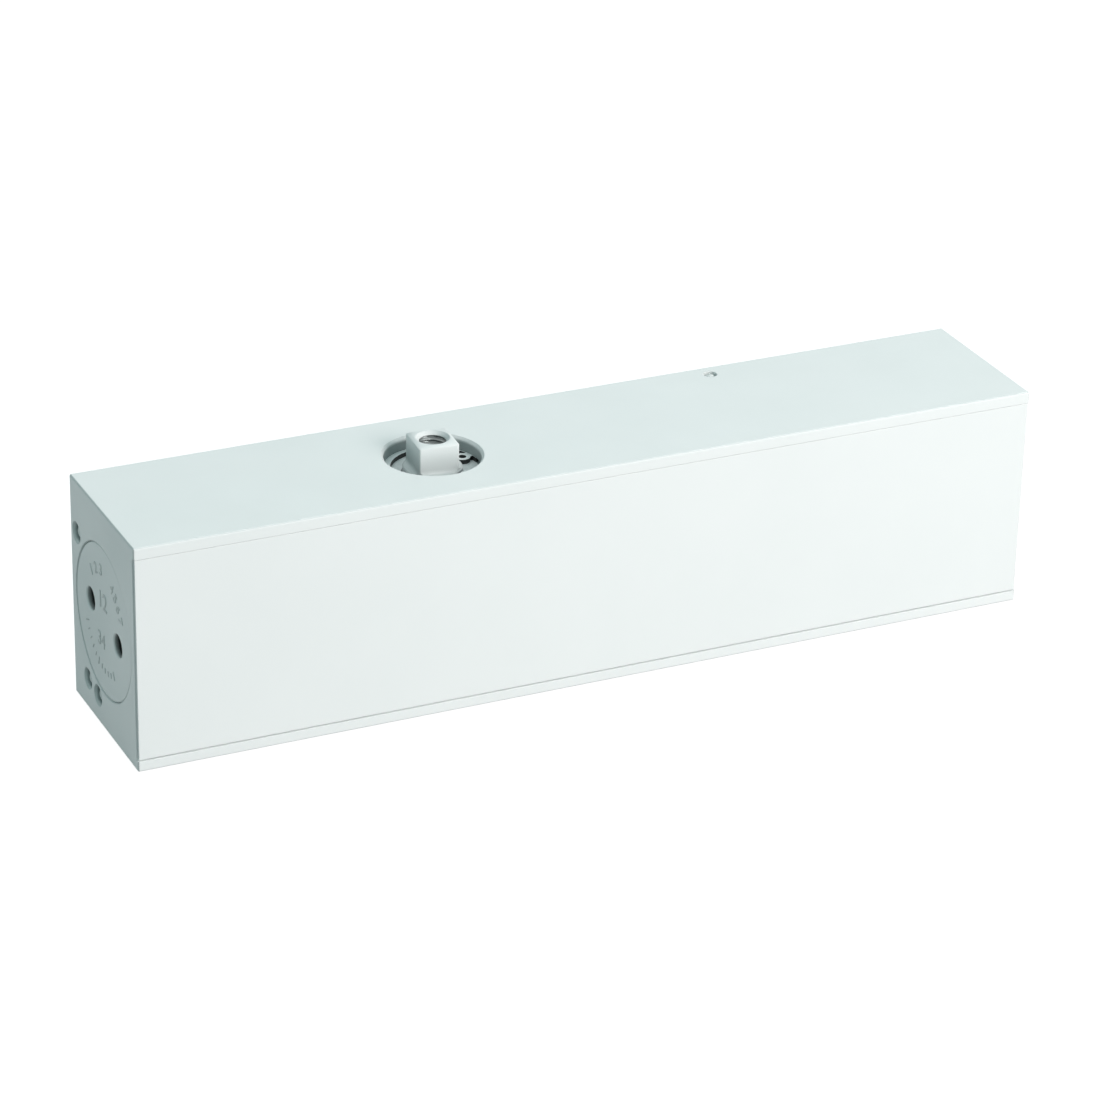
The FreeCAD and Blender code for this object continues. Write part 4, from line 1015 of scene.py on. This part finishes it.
@dataclass
class PlugDial:
    """Raised numbers and a row of ticks on the outer face of an end plug."""

    name: str
    side: int
    numerals: Sequence[Numeral]
    tick_count: int
    tick_start: float
    tick_step: float
    tick_radius: float
    tick_length: float = 0.0016
    tick_width: float = 0.00042
    relief: float = 0.00012
    root: float = 0.00006
    soft_edge: float = 0.00003
    cap_share: float = 0.70
    rib_top: float = 0.58
    rib_foot: float = 0.72
    longer_by: float = 0.6

    def tick_tree(self) -> GrowTree:
        """Return the tree of drafted ticks on an arc, with its sizes as inputs."""
        grown = GrowTree("Tick Arc", {
            "Count": 10, "Start": 0.0, "Step": 0.1, "Radius": 0.013, "Length": 0.001, "Width": 0.0003,
            "Height": 0.0001, "Sunk": 0.00005, "Long Every": 5})
        sheet, given = grown.sheet, grown.given
        points = sheet.add("GeometryNodePoints", {"Count": given["Count"]}).outputs[0]
        index = sheet.add("GeometryNodeInputIndex").outputs[0]
        angle = sheet.math("MULTIPLY_ADD", index, given["Step"], given["Start"])
        x = sheet.math("MULTIPLY", sheet.math("COSINE", angle), given["Radius"])
        y = sheet.math("MULTIPLY", sheet.math("SINE", angle), given["Radius"])
        placed = sheet.add("GeometryNodeSetPosition", {"Geometry": points,
                                                       "Position": sheet.spot(x, y)}).outputs[0]
        rib = sheet.add("GeometryNodeMeshCone", {"Vertices": 4, "Radius Top": self.rib_top,
                                                 "Radius Bottom": self.rib_foot,
                                                 "Depth": 1.0}).outputs["Mesh"]
        lift = sheet.math("MULTIPLY", given["Sunk"], -1.0)
        tall = sheet.math("ADD", given["Height"], given["Sunk"])
        size = sheet.spot(given["Length"], given["Width"], tall)
        square = sheet.add("GeometryNodeTransform", {"Geometry": rib, "Rotation": (0.0, 0.0, math.pi / 4)})
        bar = sheet.add("GeometryNodeTransform", {"Geometry": square.outputs[0], "Scale": size,
                                                  "Translation": sheet.spot(z=lift)}).outputs[0]
        rest = sheet.math("MODULO", index, given["Long Every"])
        is_long = sheet.math("LESS_THAN", rest, 0.5)
        longer = sheet.math("MULTIPLY_ADD", is_long, self.longer_by, 1.0)
        rotation = sheet.add("FunctionNodeEulerToRotation", {0: sheet.spot(z=angle)}).outputs[0]
        stretch = sheet.spot(longer, 1.0, 1.0)
        row = sheet.add("GeometryNodeInstanceOnPoints", {"Points": placed, "Instance": bar,
                                                         "Rotation": rotation, "Scale": stretch})
        grown.close(row.outputs[0])
        return grown

    def numeral_mesh(self, numeral: Numeral) -> bpy.types.Mesh:
        """Return the mesh of one raised number in the dial's plane."""
        curve = bpy.data.curves.new("numeral", "FONT")
        curve.body = numeral.text
        curve.size = numeral.height / self.cap_share
        curve.align_x = "CENTER"
        curve.align_y = "CENTER"
        curve.extrude = (self.relief + self.root) / 2
        curve.bevel_depth = self.soft_edge
        curve.resolution_u = 5
        mesh = plain_mesh(linked("numeral", curve))
        lift = (self.relief - self.root) / 2 - self.soft_edge
        turn = Matrix.Rotation(math.radians(numeral.turn), 4, "Z")
        mesh.transform(Matrix.Translation((numeral.x, numeral.y, lift)) @ turn)
        return mesh

    def seat(self) -> Matrix:
        """Return the matrix that lays the dial's plane on the plug's face."""
        columns = (Vector((0, self.side, 0)), Vector((0, 0, 1)), Vector((self.side, 0, 0)))
        turn = Matrix(columns).transposed().to_4x4()
        return Matrix.Translation((self.side * PLUG_FACE_X, 0.0, BORE_Z)) @ turn

    def build(self, wardrobe: Wardrobe) -> bpy.types.Object:
        """Build the dial on its plug."""
        finish = wardrobe.materials["dial_painted_shade"]
        ticks = self.tick_tree().bake(
            finish, Count=self.tick_count, Start=math.radians(self.tick_start),
            Step=math.radians(self.tick_step), Radius=self.tick_radius, Length=self.tick_length,
            Width=self.tick_width, Height=self.relief, Sunk=self.root)
        joined = bmesh.new()
        joined.from_mesh(ticks)
        for numeral in self.numerals:
            joined.from_mesh(self.numeral_mesh(numeral))
        for face in joined.faces:
            face.material_index = 0
        bmesh.ops.remove_doubles(joined, verts=joined.verts, dist=2 * WELD)
        bmesh.ops.recalc_face_normals(joined, faces=joined.faces)
        mesh = settled(self.name, joined, finish)
        mesh.transform(self.seat())
        shade(mesh)
        return new_piece(self.name, mesh, BODY)


@dataclass
class ClosingBody:
    """The housing with its cover, plugs, balls and the two raised dials."""

    digit: float = 0.0030
    left_radius: float = 0.0134
    left_angles: tuple[float, ...] = (129, 113, 97, 62, 50, 38, 26)
    right_radius: float = 0.0139
    right_start: float = 132.0
    right_step: float = 14.0

    def left_dial(self) -> PlugDial:
        """Return the dial on the left plug."""
        numerals = [on_arc(text, degrees, self.left_radius, self.digit)
                    for text, degrees in zip("1234567", self.left_angles)]
        numerals += [Numeral("12", -0.0007, 0.0052, 0.0045), Numeral("34", -0.0023, -0.0060, 0.0038)]
        return PlugDial("left_dial", -1, numerals, tick_count=11, tick_start=202.0, tick_step=9.6,
                        tick_radius=self.left_radius)

    def right_dial(self) -> PlugDial:
        """Return the dial round the closing force adjuster."""
        numerals = [on_arc(str(step + 1), self.right_start - self.right_step * step, self.right_radius,
                           self.digit) for step in range(7)]
        return PlugDial("right_dial", 1, numerals, tick_count=31, tick_start=45.0, tick_step=3.0,
                        tick_radius=0.0170)

    def build(self, wardrobe: Wardrobe) -> None:
        """Dress the outside of the closer and build its dials."""
        wardrobe.dress("housing", "white_body")
        wardrobe.dress("front_plate", "white_plate")
        wardrobe.dress("plate_studs", "nylon")
        for node in ("left_end_plug", "right_end_plug"):
            wardrobe.dress(node, "white_plug")
        for node in ("end_gallery_balls", "roof_gallery_ball"):
            wardrobe.dress(node, "white_ball")
        self.left_dial().build(wardrobe)
        self.right_dial().build(wardrobe)


@dataclass(frozen=True)
class FittedGroup:
    """CAD nodes of one working group that keep their own shape."""

    name: str
    finishes: dict[str, tuple[str, ...]]

    def build(self, wardrobe: Wardrobe) -> None:
        """Dress every node of the group."""
        for label, nodes in self.finishes.items():
            for node in nodes:
                wardrobe.dress(node, label)
        log.info("%s is dressed", self.name)


def fitted_groups() -> list[FittedGroup]:
    """Return the groups inside the housing, with the finish of every node."""
    return [
        FittedGroup("shaft fittings", {
            "white_ring": ("upper_retaining_ring", "lower_retaining_ring"),
            "white_disc": ("upper_seal_disc", "lower_cap"),
            "nitrile": ("upper_shaft_seal", "lower_cap_o_ring"),
            "ground_steel": ("upper_bearing_cup", "lower_bearing_cup", "upper_rollers", "lower_rollers"),
            "washer_brass": ("thrust_washers",)}),
        FittedGroup("power train", {
            "oiled_iron": ("piston",),
            "zinc_turned": ("check_valve_retainer", "relief_valve_screw", "spring_seat",
                            "adjusting_spindle"),
            "ground_steel": ("check_valve_ball", "relief_valve_ball"),
            "tempered_wire": ("check_valve_spring", "relief_valve_spring", "outer_spring", "inner_spring"),
            "washer_brass": ("adjuster_thrust_washer",),
            "nitrile": ("adjusting_spindle_o_ring", "left_plug_o_ring", "right_plug_o_ring")}),
        FittedGroup("oil valves", {
            "valve_brass": ("closing_valve", "latching_valve", "back_check_valve"),
            "nitrile": ("closing_valve_o_ring", "latching_valve_o_ring", "back_check_valve_o_ring")}),
    ]


@dataclass(frozen=True)
class CoilStretch:
    """A stretch of a CAD spring, cut at start, end or neither."""

    node: str
    name: str
    start: Optional[float] = None
    end: Optional[float] = None

    def form(self) -> bmesh.types.BMesh:
        """Return the stretch, copied out of the CAD solid and with its cuts closed."""
        coil = bmesh.new()
        coil.from_mesh(frame["nodes"][self.node].data)
        bmesh.ops.remove_doubles(coil, verts=coil.verts, dist=WELD)
        for place, inwards in ((self.start, 1.0), (self.end, -1.0)):
            if place is None:
                continue
            everything = coil.verts[:] + coil.edges[:] + coil.faces[:]
            cut = bmesh.ops.bisect_plane(coil, geom=everything, plane_co=(place, 0.0, 0.0),
                                         plane_no=(inwards, 0.0, 0.0), clear_inner=True)
            rim = [part for part in cut["geom_cut"] if isinstance(part, bmesh.types.BMEdge)]
            bmesh.ops.triangle_fill(coil, edges=rim, use_beauty=True)
        bmesh.ops.recalc_face_normals(coil, faces=coil.faces)
        log.info("%s has %d open edges", self.name, open_edges(coil))
        return coil

    def build(self, wardrobe: Wardrobe, body: Optional[str] = None) -> bpy.types.Object:
        """Build the stretch and let it stand for the CAD spring.

        Args:
            wardrobe: The finishes.
            body: The CAD body that it rides on, or None for none.

        Returns:
            The piece.
        """
        mesh = settled(self.name, self.form(), wardrobe.materials["tempered_wire"])
        shade(mesh)
        piece = new_piece(self.name, mesh, body)
        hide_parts(self.node)
        return piece


@dataclass
class CoilSprings:
    """The springs: the two main ones in a stretch at the piston and one at the force seat, and the valve
    springs whole.
    """

    piston_face: float = -0.0093
    cut: float = 0.0600
    last_turn: float = 0.0850
    stroke: float = 0.0283
    check_height: float = 0.038
    relief_height: float = 0.022

    def build(self, wardrobe: Wardrobe) -> None:
        """Build every stretch; those at the piston ride on the closer's body, the others on none."""
        for node in ("outer_spring", "inner_spring"):
            front = CoilStretch(node, f"{node}_piston_end", end=self.cut).build(wardrobe, BODY)
            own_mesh(front)
            rear = CoilStretch(node, f"{node}_seat_end", start=self.cut).build(wardrobe)
            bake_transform(rear)
        check = CoilStretch("check_valve_spring", "check_spring").build(wardrobe)
        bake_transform(check)
        relief = CoilStretch("relief_valve_spring", "relief_spring").build(wardrobe)
        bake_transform(relief)


@dataclass(frozen=True)
class SoftLamp:
    """A square of soft light."""

    name: str
    place: Place
    target: Place
    size: float
    power: float
    colour: RGB = (1.0, 1.0, 1.0)

    def hang(self) -> None:
        """Put the lamp in the scene."""
        light = bpy.data.lights.new(self.name, "AREA")
        light.shape = "SQUARE"
        light.size = self.size
        light.energy = self.power
        light.color = self.colour
        lamp = linked(self.name, light)
        lamp.location = self.place
        aim = Vector(self.target) - Vector(self.place)
        lamp.rotation_euler = aim.to_track_quat("-Z", "Y").to_euler()


@dataclass
class Studio:
    """Pale floor, soft light and the camera of the photograph's angle."""

    camera_place: Place = (-0.41874, -0.87686, 0.49822)
    heading: float = 25.383
    elevation: float = 25.876
    roll: float = 1.331
    lens: float = 138.66
    sensor: float = 36.0
    floor_size: float = 8.0
    floor_drop: float = 0.0002
    floor_tone: float = 0.32
    floor_mottle: RGB = (0.97, 0.98, 0.98)
    floor_glow: float = 0.90
    sky: RGB = (0.262, 0.378, 0.381)

    def lamps(self) -> list[SoftLamp]:
        """Return the lamps."""
        return [
            SoftLamp("front_light", place=(0.75, -1.20, 0.75), target=(0.05, 0.0, 0.03), size=0.8,
                     power=24.3, colour=(1.0, 0.942, 0.932)),
            SoftLamp("roof_light", place=(-0.1, 0.35, 1.7), target=(0.0, 0.0, 0.06), size=1.1, power=4.9),
        ]

    def shown_directly(self, sheet: NodeSheet) -> bpy.types.NodeSocket:
        """Add a mask to a tree: 1 for what the camera, a gloss or a glass sees."""
        path = sheet.add("ShaderNodeLightPath").outputs
        seen = sheet.math("MAXIMUM", path["Is Camera Ray"], path["Is Glossy Ray"])
        return sheet.math("MAXIMUM", seen, path["Is Transmission Ray"])

    def build_world(self) -> None:
        """Build the soft cool light from all round and the white background."""
        world = bpy.data.worlds.new("studio")
        bpy.context.scene.world = world
        world.use_nodes = True
        sheet = NodeSheet(world.node_tree)
        soft = sheet.add("ShaderNodeBackground", {"Color": opaque(self.sky), "Strength": 1.0})
        white = sheet.add("ShaderNodeBackground", {"Color": opaque((1.0, 1.0, 1.0)), "Strength": 1.0})
        mixed = sheet.add("ShaderNodeMixShader", {0: self.shown_directly(sheet), 1: soft.outputs[0],
                                                  2: white.outputs[0]})
        sheet.feed(sheet.add("ShaderNodeOutputWorld").inputs["Surface"], mixed.outputs[0])

    def build_floor(self) -> None:
        """Build the pale floor, which keeps a faint shadow."""
        half = self.floor_size / 2
        square = bmesh.new()
        corners = [(-half, -half), (half, -half), (half, half), (-half, half)]
        square.faces.new([square.verts.new((x, y, -self.floor_drop)) for x, y in corners])
        material = bpy.data.materials.new("pale_floor")
        material.use_nodes = True
        sheet = NodeSheet(material.node_tree)
        tone = self.floor_tone
        grain = sheet.noise(sheet.object_place(), 60.0, 4.0)
        pale = sheet.blend(sheet.ramp(grain, 0.3, 0.7), opaque((tone, tone, tone)),
                           opaque(tuple(tone * share for share in self.floor_mottle)))
        matt = sheet.add("ShaderNodeBsdfDiffuse", {"Color": pale})
        glow = sheet.add("ShaderNodeEmission", {
            "Strength": sheet.math("MULTIPLY", self.shown_directly(sheet), self.floor_glow)})
        both = sheet.add("ShaderNodeAddShader", {0: matt.outputs[0], 1: glow.outputs[0]})
        sheet.feed(sheet.add("ShaderNodeOutputMaterial").inputs["Surface"], both.outputs[0])
        floor = linked("floor", settled("floor", square, material))

    def build_camera(self) -> None:
        """Stand the camera where the photograph was taken."""
        heading, pitch, roll = map(math.radians, (self.heading, self.elevation, self.roll))
        forward = Vector((math.sin(heading) * math.cos(pitch), math.cos(heading) * math.cos(pitch),
                          -math.sin(pitch)))
        level = Vector((math.cos(heading), -math.sin(heading), 0.0))
        right = level * math.cos(roll) + level.cross(forward) * math.sin(roll)
        turn = Matrix((right, right.cross(forward), -forward)).transposed()
        data = bpy.data.cameras.new("photo_camera")
        data.lens = self.lens
        data.sensor_width = self.sensor
        data.clip_start = 0.01
        data.clip_end = 20.0
        camera = linked("photo_camera", data)
        camera.matrix_world = Matrix.Translation(self.camera_place) @ turn.to_4x4()
        bpy.context.scene.camera = camera

    def build(self) -> None:
        """Build the whole set."""
        bpy.context.scene.view_settings.view_transform = "Standard"
        self.build_world()
        self.build_floor()
        for lamp in self.lamps():
            lamp.hang()
        self.build_camera()
        log.info("studio is set")


def main() -> None:
    """Build the scene in order."""
    for item in list(bpy.context.scene.collection.objects):
        if item.name in ("Cube", "Light", "Camera"):
            bpy.data.objects.remove(item)
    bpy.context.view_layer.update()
    Studio().build()
    wardrobe = Wardrobe()
    ClosingBody().build(wardrobe)
    ArmSpindle().build(wardrobe)
    for group in fitted_groups():
        group.build(wardrobe)
    CoilSprings().build(wardrobe)


if __name__ == "__main__":
    main()
